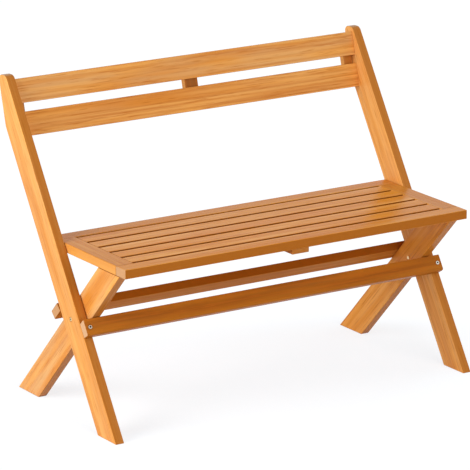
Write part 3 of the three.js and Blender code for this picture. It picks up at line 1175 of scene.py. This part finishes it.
@dataclass
class CrossingFrame:
    """The uprights with their front stretcher, the legs with their rear stretcher, and what joins them."""

    plan: BenchPlan
    wood: OiledAcacia
    steel: bpy.types.Material
    nose_radius: float = 18
    heel_radius: float = 15
    stretcher_thickness: float = 25.3
    front_height: float = 44.8
    rear_height: float = 41.6
    front_rise: float = 4.1
    front_rounding: float = 6
    rear_rounding: float = 3
    rear_play: float = 0.6
    bolt_reach: float = 40
    head_sink: float = 1.6
    head_radius: float = 5.1
    head_height: float = 2.4
    head_play: float = 1.2
    socket_width: float = 4.8
    socket_depth: float = 6
    recess_radius: float = 6
    recess_depth: float = 4.6
    pivot_head_radius: float = 5
    pivot_head_height: float = 4.2
    pivot_socket_width: float = 4
    pivot_socket_depth: float = 2.4
    barrel_reach: float = 8
    pin_reach: float = 14
    ease: float = 2
    rear_ease: float = 1.6

    def __post_init__(self) -> None:
        """Finds where the stretchers lie on the uprights and the legs."""
        plan = self.plan
        half = plan.upright_width / 2
        sine = math.sin(plan.crossing)
        cosine = math.cos(plan.crossing)
        self.bolt_hole = plan.bolt_radius + plan.running_gap
        self.front_frame = plan.leaning(plan.upright_lean)
        self.front_inner = -half - plan.contact_gap
        self.front_outer = self.front_inner - self.stretcher_thickness
        stop = (plan.leg_front - plan.contact_gap - self.front_inner * cosine) / sine
        self.front_top = stop + self.front_rise
        self.front_bolt = self.front_top - self.front_height / 2
        self.rear_frame = plan.leaning(-plan.leg_lean)
        self.rear_inner = plan.leg_rear + plan.contact_gap
        self.rear_outer = self.rear_inner + self.stretcher_thickness
        self.rear_top = (self.rear_inner * cosine - half) / sine - self.rear_play
        self.rear_bolt = self.rear_top - self.rear_height / 2

    def build(self) -> None:
        """Builds both leaning frames and their fasteners."""
        for side, sign in SIDES:
            self.upright(side, sign)
            self.leg(side, sign)
        self.front_stretcher()
        self.rear_stretcher()
        self.bolts()
        self.pivots()

    def upright(self, side: str, sign: int) -> None:
        """Builds one upright.

        Args:
            side: left or right.
            sign: -1 on the left and 1 on the right.
        """
        plan = self.plan
        lean = plan.upright_lean
        half = plan.upright_width / 2
        inner = sign * plan.upright_inner
        outer = sign * plan.half
        foot = plan.along_at(0, 0, lean)
        head = plan.along_at(plan.top_height, 0, lean)
        kink = plan.along_at(plan.kink_height, half, lean)
        steeper = lean - plan.back_lean
        nose = plan.along_at(plan.top_height, -half, lean)
        rise = plan.kink_below_top / math.cos(plan.back_lean)
        heel = (half - rise * math.sin(steeper), kink + rise * math.cos(steeper))
        board = Board(
            f"{side}_upright",
            "back_frame",
            (min(inner, outer), -half, foot - half),
            (max(inner, outer), half, head + half),
            self.front_frame,
            Axis.Z,
            tone=-0.4 if sign < 0 else -0.9,
            hue=0.25,
        )
        board.saw((0, 0, foot), (0, math.sin(lean), -math.cos(lean)))
        board.saw((0, 0, head), (0, -math.sin(lean), math.cos(lean)))
        board.saw((0, half, kink), (0, math.cos(steeper), math.sin(steeper)))
        # A rounding's reach along the faces is its radius over the tangent of half the corner.
        reach = self.nose_radius / math.tan((math.pi / 2 + lean) / 2)
        board.round_corner(-half, nose, reach, steps=12)
        reach = self.heel_radius / math.tan((math.pi / 2 - plan.back_lean) / 2)
        board.round_corner(*heel, reach, steps=5)
        board.ease(self.ease)
        board.bore(self.recess_radius, (outer, 0, 0), (outer - sign * self.recess_depth, 0, 0), flare=0.4)
        start = outer - sign * OVERCUT
        board.bore(self.bolt_hole, (start, 0, 0), (inner - sign * OVERCUT, 0, 0), flare=0.1)
        end = inner + sign * (self.barrel_reach + plan.contact_gap)
        board.bore(plan.barrel_radius + plan.running_gap, (inner, 0, 0), (end, 0, 0), flare=0.1)
        up = plan.seat_middle - plan.pivot.z
        pin = (
            plan.seat_hinge * math.cos(lean) - up * math.sin(lean),
            plan.seat_hinge * math.sin(lean) + up * math.cos(lean),
        )
        end = inner + sign * (self.pin_reach + plan.contact_gap)
        board.bore(plan.pin_radius + plan.running_gap, (inner, *pin), (end, *pin), flare=0.2)
        middle = sign * plan.upright_middle
        end = (middle, self.bolt_reach + plan.contact_gap - half, self.front_bolt)
        board.bore(self.bolt_hole, (middle, -half, self.front_bolt), end, flare=0.2)
        board.finish(self.wood)

    def leg(self, side: str, sign: int) -> None:
        """Builds one leg.

        Args:
            side: left or right.
            sign: -1 on the left and 1 on the right.
        """
        plan = self.plan
        lean = -plan.leg_lean
        foot = plan.along_at(0, 0, lean)
        head = plan.along_at(plan.seat_under - plan.contact_gap, 0, lean)
        inner = sign * plan.leg_inner
        outer = sign * plan.leg_outer
        board = Board(
            f"{side}_leg",
            "leg_frame",
            (min(inner, outer), plan.leg_front, foot - plan.leg_width),
            (max(inner, outer), plan.leg_rear, head + plan.leg_width),
            self.rear_frame,
            Axis.Z,
            tone=-0.6 if sign > 0 else -0.9,
            hue=-0.6 if sign > 0 else 0.6,
            # Painted shade on the eased edges round the leg's ends, at its seams.
            end_arris_shade=1.8,
        )
        board.saw((0, 0, foot), (0, math.sin(lean), -math.cos(lean)))
        board.saw((0, 0, head), (0, -math.sin(lean), math.cos(lean)))
        board.ease(self.ease)
        end = inner - sign * OVERCUT
        board.bore(plan.barrel_radius + plan.running_gap, (outer, 0, 0), (end, 0, 0), flare=0.2)
        middle = sign * plan.leg_middle
        end = plan.leg_rear - self.bolt_reach - plan.contact_gap
        mouth = (middle, plan.leg_rear, self.rear_bolt)
        board.bore(self.bolt_hole, mouth, (middle, end, self.rear_bolt), flare=0.2)
        board.finish(self.wood)

    def front_stretcher(self) -> None:
        """Builds the front stretcher, planed on its top to the slope of the legs."""
        plan = self.plan
        bottom = self.front_top - self.front_height
        board = Board(
            "front_stretcher",
            "back_frame",
            (-plan.half, self.front_outer, bottom),
            (plan.half, self.front_inner, self.front_top),
            self.front_frame,
            Axis.X,
            # The dark tone is in part painted shade from the seat above, and the dark eased edges round its
            # ends are painted shade.
            tone=0.95,
            hue=-0.3,
            gloss=0.3,
            end_tone=1.8,
            end_arris_shade=1.4,
        )
        slope = (0, math.cos(plan.crossing), math.sin(plan.crossing))
        edge = plan.leg_front - plan.contact_gap
        board.saw((0, edge * slope[1], edge * slope[2]), slope)
        board.round_corner(self.front_outer, bottom, self.front_rounding, steps=8)
        board.ease(self.ease)
        self.bolt_holes(board, plan.upright_middle, self.front_outer, self.front_inner, self.front_bolt)
        board.finish(self.wood)

    def rear_stretcher(self) -> None:
        """Builds the rear stretcher."""
        plan = self.plan
        bottom = self.rear_top - self.rear_height
        board = Board(
            "rear_stretcher",
            "leg_frame",
            (-plan.half, self.rear_inner, bottom),
            (plan.half, self.rear_outer, self.rear_top),
            self.rear_frame,
            Axis.X,
            # The dark tone and the dark top face are in part painted shade from the seat above, and the
            # dark eased edges round its ends are painted shade.
            tone=0.55,
            hue=-0.2,
            gloss=0.3,
            edge_tone=1.15,
            end_tone=1.5,
            end_arris_shade=1.4,
        )
        for edge in (bottom, self.rear_top):
            board.round_corner(self.rear_outer, edge, self.rear_rounding, steps=5)
        board.ease(self.rear_ease)
        self.bolt_holes(board, plan.leg_middle, self.rear_outer, self.rear_inner, self.rear_bolt)
        board.finish(self.wood)

    def bolt_holes(self, board: Board, right: float, outer: float, inner: float, along: float) -> None:
        """Bores the holes of a stretcher's bolts, and the seats of their heads.

        Args:
            board: the stretcher.
            right: how far each bolt is from the middle of the bench.
            outer: where the stretcher's outer face is.
            inner: where its inner face is.
            along: the bolts' place along the frame.
        """
        inward = math.copysign(1, inner - outer)
        seat = outer + inward * self.head_sink
        start = outer + inward * OVERCUT
        end = inner + inward * OVERCUT
        for _, sign in SIDES:
            x = sign * right
            board.bore(self.head_radius + self.head_play, (x, outer, along), (x, seat, along), flare=0.3)
            board.bore(self.bolt_hole, (x, start, along), (x, end, along), flare=0.1)

    def bolts(self) -> None:
        """Models one stretcher bolt and copies it to the four corners of the frame."""
        plan = self.plan
        bolt = SocketBolt(
            head_radius=self.head_radius,
            head_height=self.head_height,
            shank_radius=plan.bolt_radius,
            shank_length=self.stretcher_thickness - self.head_sink + self.bolt_reach,
            socket_width=self.socket_width,
            socket_depth=self.socket_depth,
        ).model("stretcher_bolt")
        for side, sign in SIDES:
            node = f"{side}_front_bolt"
            head = (sign * plan.upright_middle, self.front_outer + self.head_sink, self.front_bolt)
            frame = self.front_frame @ pointing(head, (0, -1, 0))
            fit(bolt, node + "_steel", frame, self.steel, "back_frame", node)
            node = f"{side}_rear_bolt"
            head = (sign * plan.leg_middle, self.rear_outer - self.head_sink, self.rear_bolt)
            frame = self.rear_frame @ pointing(head, (0, 1, 0))
            fit(bolt, node + "_steel", frame, self.steel, "leg_frame", node)
        bpy.data.objects.remove(bolt)

    def pivots(self) -> None:
        """Models the yellow passivated pivot bolt and its barrel nut and copies them to both sides."""
        plan = self.plan
        seat = plan.upright_thickness - self.recess_depth
        bolt = SocketBolt(
            head_radius=self.pivot_head_radius,
            head_height=self.pivot_head_height,
            shank_radius=plan.bolt_radius,
            shank_length=seat + plan.leg_side_gap + plan.leg_thickness / 2,
            socket_width=self.pivot_socket_width,
            socket_depth=self.pivot_socket_depth,
        ).model("pivot_bolt")
        length = plan.leg_thickness + plan.leg_side_gap + self.barrel_reach
        bore = length - plan.leg_thickness / 2 + plan.contact_gap
        nut = BarrelNut(length=length, bore_depth=bore).model("pivot_nut")
        yellow = ZincPlatedSteel("yellow_passivated_steel", bright="FFE4B4", dull="EFCB92").material()
        places = ((bolt, "bolt", plan.half - self.recess_depth), (nut, "nut", plan.leg_inner))
        for side, sign in SIDES:
            for fastener, kind, right in places:
                node = f"{side}_pivot_{kind}"
                frame = plan.leaning(0) @ pointing((sign * right, 0, 0), (sign, 0, 0))
                fit(fastener, node + "_steel", frame, yellow, "back_frame", node)
        bpy.data.objects.remove(bolt)
        bpy.data.objects.remove(nut)


@dataclass
class SlattedSeat:
    """The seat: two long rails, two side rails, five slats and a cleat under its middle."""

    plan: BenchPlan
    wood: OiledAcacia
    steel: bpy.types.Material
    side_width: float = 52
    slat_gap: float = 8.9
    slat_tones: tuple[float, ...] = (-0.15, -0.5, -0.2, -0.4, -0.3)
    tenon_inset_share: float = 0.32
    tenon_share: float = 0.34
    pin_reach: float = 36
    cleat_width: float = 52.5
    cleat_thickness: float = 13.4
    cleat_inset: float = 1.5
    screw_aside: float = 10
    ease: float = 2

    def __post_init__(self) -> None:
        """Finds how far the tenons' cheeks lie inside the boards' faces, and how long the tenons are."""
        self.rail_width = self.plan.rail_width
        self.tenon_inset = self.plan.board_thickness * self.tenon_inset_share
        self.side_tenon = self.rail_width * self.tenon_share
        self.slat_tenon = self.side_width * self.tenon_share

    def build(self) -> None:
        """Builds the seat's boards and screws."""
        self.long_rail("front", self.plan.seat_front, 1)
        self.long_rail("rear", self.plan.seat_rear - self.rail_width, -1)
        for side, sign in SIDES:
            self.side_rail(side, sign)
        for number, (front, rear) in enumerate(self.slat_places()):
            self.slat(number, front, rear)
        self.cleat()
        self.screws()

    def slat_places(self) -> list[tuple[float, float]]:
        """Finds where the slats lie.

        Returns:
            The front and rear of each slat, from the front of the seat.
        """
        plan = self.plan
        count = len(self.slat_tones)
        width = (plan.seat_depth - self.rail_width * 2 - self.slat_gap * (count + 1)) / count
        first = plan.seat_front + self.rail_width + self.slat_gap
        starts = [first + (width + self.slat_gap) * number for number in range(count)]
        return [(start, start + width) for start in starts]

    def long_rail(self, name: str, front: float, mortised: int) -> None:
        """Builds a rail that runs the seat's whole length.

        Args:
            name: front or rear.
            front: where its front edge is.
            mortised: 1 where its mortises open rearward, -1 where they open forward.
        """
        plan = self.plan
        rear = front + self.rail_width
        board = Board(
            f"seat_{name}_rail",
            "seat",
            (-plan.seat_half, front, plan.seat_under),
            (plan.seat_half, rear, plan.seat_height),
            plan.seat_frame,
            Axis.X,
            tone=0.1,
            hue=-0.5,
            gloss=0.7,
            # The narrow faces are darkened in part as painted shade in the gap by the slats.
            edge_tone=1.0,
            end_tone=1.5,
        )
        board.ease(self.ease)
        play = plan.contact_gap
        ends = (rear - self.side_tenon - play, rear + play)
        if mortised < 0:
            ends = (front - play, front + self.side_tenon + play)
        half = self.side_width / 2 - self.tenon_inset + play
        up = plan.board_thickness / 2 - self.tenon_inset + play
        for _, sign in SIDES:
            middle = sign * (plan.seat_half - self.side_width / 2)
            low = (middle - half, ends[0], plan.seat_middle - up)
            board.mortise(low, (middle + half, ends[1], plan.seat_middle + up))
            if mortised < 0:
                mouth = (sign * plan.seat_half, plan.seat_hinge, plan.seat_middle)
                end = (sign * (plan.seat_half - self.pin_reach - play), plan.seat_hinge, plan.seat_middle)
                board.bore(plan.pin_radius + plan.running_gap, mouth, end, flare=0.3)
        board.finish(self.wood)

    def side_rail(self, side: str, sign: int) -> None:
        """Builds a rail at one end of the seat.

        Args:
            side: left or right.
            sign: -1 on the left and 1 on the right.
        """
        plan = self.plan
        inner = plan.seat_half - self.side_width
        ends = (sign * inner, sign * plan.seat_half)
        front = plan.seat_front + self.rail_width + plan.contact_gap
        rear = plan.seat_rear - self.rail_width - plan.contact_gap
        board = Board(
            f"seat_{side}_rail",
            "seat",
            (min(ends), front, plan.seat_under),
            (max(ends), rear, plan.seat_height),
            plan.seat_frame,
            Axis.Y,
            tone=0.32,
            hue=-0.5,
            gloss=0.7,
            # The sides are painted paler, as painted light on the sides.
            edge_tone=-0.5,
        )
        play = plan.contact_gap
        board.tenon(self.tenon_inset, self.side_tenon)
        board.ease_along(self.ease)
        mouths = (sign * (inner - play), sign * (inner + self.slat_tenon + play))
        inset = self.tenon_inset - play
        for slat_front, slat_rear in self.slat_places():
            low = (min(mouths), slat_front + inset, plan.seat_under + inset)
            board.mortise(low, (max(mouths), slat_rear - inset, plan.seat_height - inset))
        board.finish(self.wood)

    def slat(self, number: int, front: float, rear: float) -> None:
        """Builds one slat with its tenons.

        Args:
            number: its number from the front.
            front: where its front edge is.
            rear: where its rear edge is.
        """
        plan = self.plan
        half = plan.seat_half - self.side_width - plan.contact_gap
        board = Board(
            f"seat_slat_{number + 1}",
            "seat",
            (-half, front, plan.seat_under),
            (half, rear, plan.seat_height),
            plan.seat_frame,
            Axis.X,
            cut=Cut.QUARTER if number % 2 else Cut.PLAIN,
            tone=self.slat_tones[number],
            hue=-0.8,
            gloss=0.7,
            # The narrow faces and their eased edges are painted dark, as painted shade in the gaps between
            # slats.
            edge_tone=1.6,
            edge_from=0.5,
        )
        board.tenon(self.tenon_inset, self.slat_tenon)
        board.ease_along(self.ease)
        board.finish(self.wood)

    def cleat(self) -> None:
        """Builds the cleat under the middle of the seat."""
        plan = self.plan
        top = plan.seat_under - plan.contact_gap
        half = self.cleat_width / 2
        board = Board(
            "seat_centre_cleat",
            "seat",
            (-half, plan.seat_front + self.cleat_inset, top - self.cleat_thickness),
            (half, plan.seat_rear - self.cleat_inset, top),
            plan.seat_frame,
            Axis.Y,
            tone=0.75,
            gloss=0.3,
            edge_tone=0.3,
            end_tone=0.3,
        )
        board.ease(self.ease)
        board.finish(self.wood)

    def screws(self) -> None:
        """Screws the cleat to each board above it."""
        plan = self.plan
        screw = WoodScrew().model("cleat_screw")
        under = plan.seat_under - plan.contact_gap - self.cleat_thickness
        boards = [(plan.seat_front, plan.seat_front + self.rail_width)]
        boards += self.slat_places()
        boards.append((plan.seat_rear - self.rail_width, plan.seat_rear))
        for number, (front, rear) in enumerate(boards):
            aside = self.screw_aside if number % 2 else -self.screw_aside
            frame = plan.seat_frame @ pointing((aside, (front + rear) / 2, under), (0, 0, -1))
            fit(screw, f"cleat_screw_{number + 1}", frame, self.steel, "seat")
        bpy.data.objects.remove(screw)


@dataclass
class BackPanel:
    """The back: two slats on three battens, between the uprights."""

    plan: BenchPlan
    wood: OiledAcacia
    steel: bpy.types.Material
    slat_height: float = 64.6
    slat_gap: float = 22.7
    slat_thickness: float = 16
    slat_drop: float = 11.2
    batten_thickness: float = 17.8
    batten_inset: float = 0.5
    side_width: float = 28.5
    centre_width: float = 41
    centre_offset: float = 9
    batten_end: float = 2
    screw_shares: tuple[float, float] = (0.27, 0.73)
    ease: float = 2

    def __post_init__(self) -> None:
        """Finds how far the slats' faces lie from the rear edge, and their tops."""
        plan = self.plan
        self.side = plan.upright_inner - plan.contact_gap
        self.depth = self.batten_inset + self.batten_thickness + plan.contact_gap + self.slat_thickness
        up = plan.top_height - self.slat_drop - plan.kink_height
        self.top = (up - self.depth * math.sin(plan.back_lean)) / math.cos(plan.back_lean)
        self.lower_top = self.top - self.slat_height - self.slat_gap

    def build(self) -> None:
        """Builds the slats, the battens and their screws."""
        self.slat("top_back_slat", self.top, tone=-0.6, hue=0.5)
        self.slat("lower_back_slat", self.lower_top, tone=-0.2, hue=0.2)
        # The battens' tones are painted shade, for the shade that the slats cast on them.
        self.batten("left", -self.side, self.side_width - self.side, tone=0.5)
        half = self.centre_width / 2
        self.batten("centre", self.centre_offset - half, self.centre_offset + half, tone=1.0)
        self.batten("right", self.side - self.side_width, self.side, tone=0.5)
        self.screws()

    def slat(self, node: str, top: float, tone: float, hue: float) -> None:
        """Builds one back slat.

        Args:
            node: the node that it stands for.
            top: where its top edge is.
            tone: how much darker than the usual board it is.
            hue: how sandy its patches are.
        """
        board = Board(
            node,
            "back_frame",
            (-self.side, -self.depth, top - self.slat_height),
            (self.side, self.slat_thickness - self.depth, top),
            self.plan.panel_frame,
            Axis.X,
            tone=tone,
            hue=hue,
        )
        board.ease_along(self.ease)
        board.finish(self.wood)

    def batten(self, name: str, low: float, high: float, tone: float) -> None:
        """Builds one batten behind the slats.

        Args:
            name: left, centre or right.
            low: where its left side is.
            high: where its right side is.
            tone: how much darker than the usual board it is, as painted shade behind the slats.
        """
        bottom = self.top - self.slat_height * 2 - self.slat_gap
        rear = -self.batten_inset
        board = Board(
            f"{name}_back_batten",
            "back_frame",
            (low, rear - self.batten_thickness, bottom + self.batten_end),
            (high, rear, self.top - self.batten_end),
            self.plan.panel_frame,
            Axis.Z,
            # The tone is painted shade behind the slats, and the sides are painted paler, as painted light.
            tone=tone,
            edge_tone=-0.6,
        )
        board.ease(self.ease)
        board.finish(self.wood)

    def screws(self) -> None:
        """Screws each batten to both slats, from behind."""
        screw = WoodScrew().model("batten_screw")
        side = self.side - self.side_width / 2
        drops = [self.slat_height * share for share in self.screw_shares]
        heights = [top - drop for top in (self.top, self.lower_top) for drop in drops]
        places = [(right, height) for right in (-side, self.centre_offset, side) for height in heights]
        for number, (right, height) in enumerate(places):
            frame = self.plan.panel_frame @ pointing((right, -self.batten_inset, height), (0, 1, 0))
            fit(screw, f"batten_screw_{number + 1}", frame, self.steel, "back_frame")
        bpy.data.objects.remove(screw)


@dataclass
class Studio:
    """A white floor without a horizon, soft light and the camera of the photograph."""

    eye: tuple[float, float, float] = (-5.0817, -7.7494, 3.0196)
    aim: tuple[float, float, float] = (-0.0126, 0.0011, 0.4016)
    roll: float = math.radians(0.216)
    lens_mm: float = 278.5
    sensor_mm: float = 36
    sight_end: float = 100
    sky_strength: float = 0.38
    left_power: float = 425.0
    front_power: float = 190.0
    right_power: float = 135.0
    softbox_size: float = 4.8
    softbox_away: float = 6.6
    softbox_height: float = 2.85
    softbox_aim: tuple[float, float, float] = (0, 0, 0.45)
    floor_size: float = 60
    floor_drop: float = 0.0005
    floor_white: str = "F4F4F4"
    # A cool white, which makes up for the warm light that the bench throws on the floor.
    glow_white: str = "FAFCFF"
    floor_glow: float = 1.065
    shadow_share: float = 0.3
    shadow_reach: tuple[float, float] = (0.95, 0.6)
    shadow_core: float = 0.55

    def build(self) -> None:
        """Sets up the floor, the light and the camera."""
        self.camera()
        self.world()
        self.floor()
        away, height = self.softbox_away, self.softbox_height
        self.softbox("left_softbox", (-away, 0, height), self.left_power)
        self.softbox("front_softbox", (0, -away, height), self.front_power)
        self.softbox("right_softbox", (away, 0, height), self.right_power)
        bpy.context.scene.view_settings.view_transform = "Standard"

    def camera(self) -> None:
        """Places the camera."""
        data = bpy.data.cameras.new("camera")
        data.lens = self.lens_mm
        data.sensor_width = self.sensor_mm
        data.clip_end = self.sight_end
        obj = bpy.data.objects.new("camera", data)
        obj.location = self.eye
        obj.rotation_mode = "QUATERNION"
        sight = (Vector(self.aim) - Vector(self.eye)).to_track_quat("-Z", "Y")
        obj.rotation_quaternion = sight @ Quaternion((0, 0, 1), self.roll)
        bpy.context.scene.collection.objects.link(obj)
        bpy.context.scene.camera = obj

    def shown_as_white(self, tree: bpy.types.NodeTree) -> bpy.types.NodeSocket:
        """Tells whether a ray comes from the camera, a shine or a see-through surface.

        Args:
            tree: the node tree that asks.

        Returns:
            A socket that is one for such a ray and zero for others.
        """
        rays = add_node(tree, "ShaderNodeLightPath").outputs
        seen = rays["Is Camera Ray"]
        for ray in ("Is Glossy Ray", "Is Transmission Ray"):
            seen = add_node(
                tree,
                "ShaderNodeMath",
                {"operation": "MAXIMUM"},
                {0: seen, 1: rays[ray]},
            ).outputs["Value"]
        return seen

    def world(self) -> None:
        """Lights the bench from all round, before a white backdrop."""
        world = bpy.data.worlds.new("studio")
        world.use_nodes = True
        tree = world.node_tree
        tree.nodes.clear()
        strength = add_node(
            tree,
            "ShaderNodeMapRange",
            inputs={"Value": self.shown_as_white(tree), "To Min": self.sky_strength, "To Max": 1.0},
        ).outputs["Result"]
        background = add_node(
            tree,
            "ShaderNodeBackground",
            inputs={"Color": (1, 1, 1, 1), "Strength": strength},
        ).outputs["Background"]
        add_node(tree, "ShaderNodeOutputWorld", inputs={"Surface": background})
        bpy.context.scene.world = world

    def paper(self) -> bpy.types.Material:
        """Builds the floor's matt white paper, which scatters light evenly and has no sheen.

        It glows white where the eye sees it, and a little less under the bench, whose faint shadow shows.

        Returns:
            The material.
        """
        material = empty_material("matt_white_paper")
        tree = material.node_tree
        lit = add_node(
            tree,
            "ShaderNodeBsdfDiffuse",
            inputs={"Color": linear(self.floor_white), "Roughness": 1.0},
        ).outputs["BSDF"]
        glow = add_node(
            tree,
            "ShaderNodeEmission",
            inputs={"Color": linear(self.glow_white), "Strength": self.floor_glow},
        ).outputs["Emission"]
        place = add_node(tree, "ShaderNodeTexCoord").outputs["Object"]
        reach = add_node(
            tree,
            "ShaderNodeVectorMath",
            {"operation": "DIVIDE"},
            {0: place, 1: (*self.shadow_reach, 1)},
        ).outputs["Vector"]
        away = add_node(tree, "ShaderNodeVectorMath", {"operation": "LENGTH"}, {0: reach}).outputs["Value"]
        glowing = add_node(
            tree,
            "ShaderNodeMapRange",
            {"interpolation_type": "SMOOTHSTEP"},
            {
                "Value": away,
                "From Min": self.shadow_core,
                "From Max": 1.0,
                "To Min": 1 - self.shadow_share,
                "To Max": 1.0,
            },
        ).outputs["Result"]
        share = add_node(
            tree,
            "ShaderNodeMath",
            {"operation": "MULTIPLY"},
            {0: self.shown_as_white(tree), 1: glowing},
        ).outputs["Value"]
        surface = add_node(tree, "ShaderNodeMixShader", inputs={0: share, 1: lit, 2: glow}).outputs[0]
        add_node(tree, "ShaderNodeOutputMaterial", inputs={"Surface": surface})
        return material

    def floor(self) -> None:
        """Lays the floor."""
        bpy.ops.object.select_all(action="DESELECT")
        bpy.ops.mesh.primitive_plane_add(size=self.floor_size, location=(0, 0, -self.floor_drop))
        floor = bpy.context.object
        floor.name = "floor"
        floor.data.materials.append(self.paper())

    def softbox(self, name: str, place: tuple[float, float, float], power: float) -> None:
        """Hangs a square soft light that faces the bench.

        Args:
            name: the light's name.
            place: where it hangs.
            power: its power.
        """
        data = bpy.data.lights.new(name, "AREA")
        data.shape = "SQUARE"
        data.size = self.softbox_size
        data.energy = power
        light = bpy.data.objects.new(name, data)
        # The sheen shows the white surroundings. A lamp in it would whiten the seat from a low side view.
        light.visible_glossy = False
        light.location = place
        light.rotation_mode = "QUATERNION"
        light.rotation_quaternion = (Vector(self.softbox_aim) - Vector(place)).to_track_quat("-Z", "Y")
        bpy.context.scene.collection.objects.link(light)


def dress_hidden_steel(nodes: dict[str, bpy.types.Object], steel: bpy.types.Material) -> None:
    """Gives the hinge pins and the spacer rings, whose CAD shape is kept, their steel.

    Args:
        nodes: the CAD nodes.
        steel: the material.
    """
    for side, _ in SIDES:
        for kind in ("pivot_spacer", "seat_pin", "seat_spacer"):
            node = nodes[f"{side}_{kind}"]
            node.data.materials.clear()
            node.data.materials.append(steel)
            log.info("kept node %s", node.name)


def main() -> None:
    """Builds the bench in its studio."""
    logging.basicConfig(level=logging.INFO, format="%(name)s: %(message)s")
    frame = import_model()
    fold = next(joint for joint in frame["joints"] if joint["name"] == "fold")
    plan = BenchPlan(pivot=Vector(fold["pos_m"]) / MM)
    wood = OiledAcacia()
    steel = ZincPlatedSteel().material()
    Studio().build()
    CrossingFrame(plan, wood, steel).build()
    SlattedSeat(plan, wood, steel).build()
    BackPanel(plan, wood, steel).build()
    dress_hidden_steel(frame["nodes"], steel)


if __name__ == "__main__":
    main()
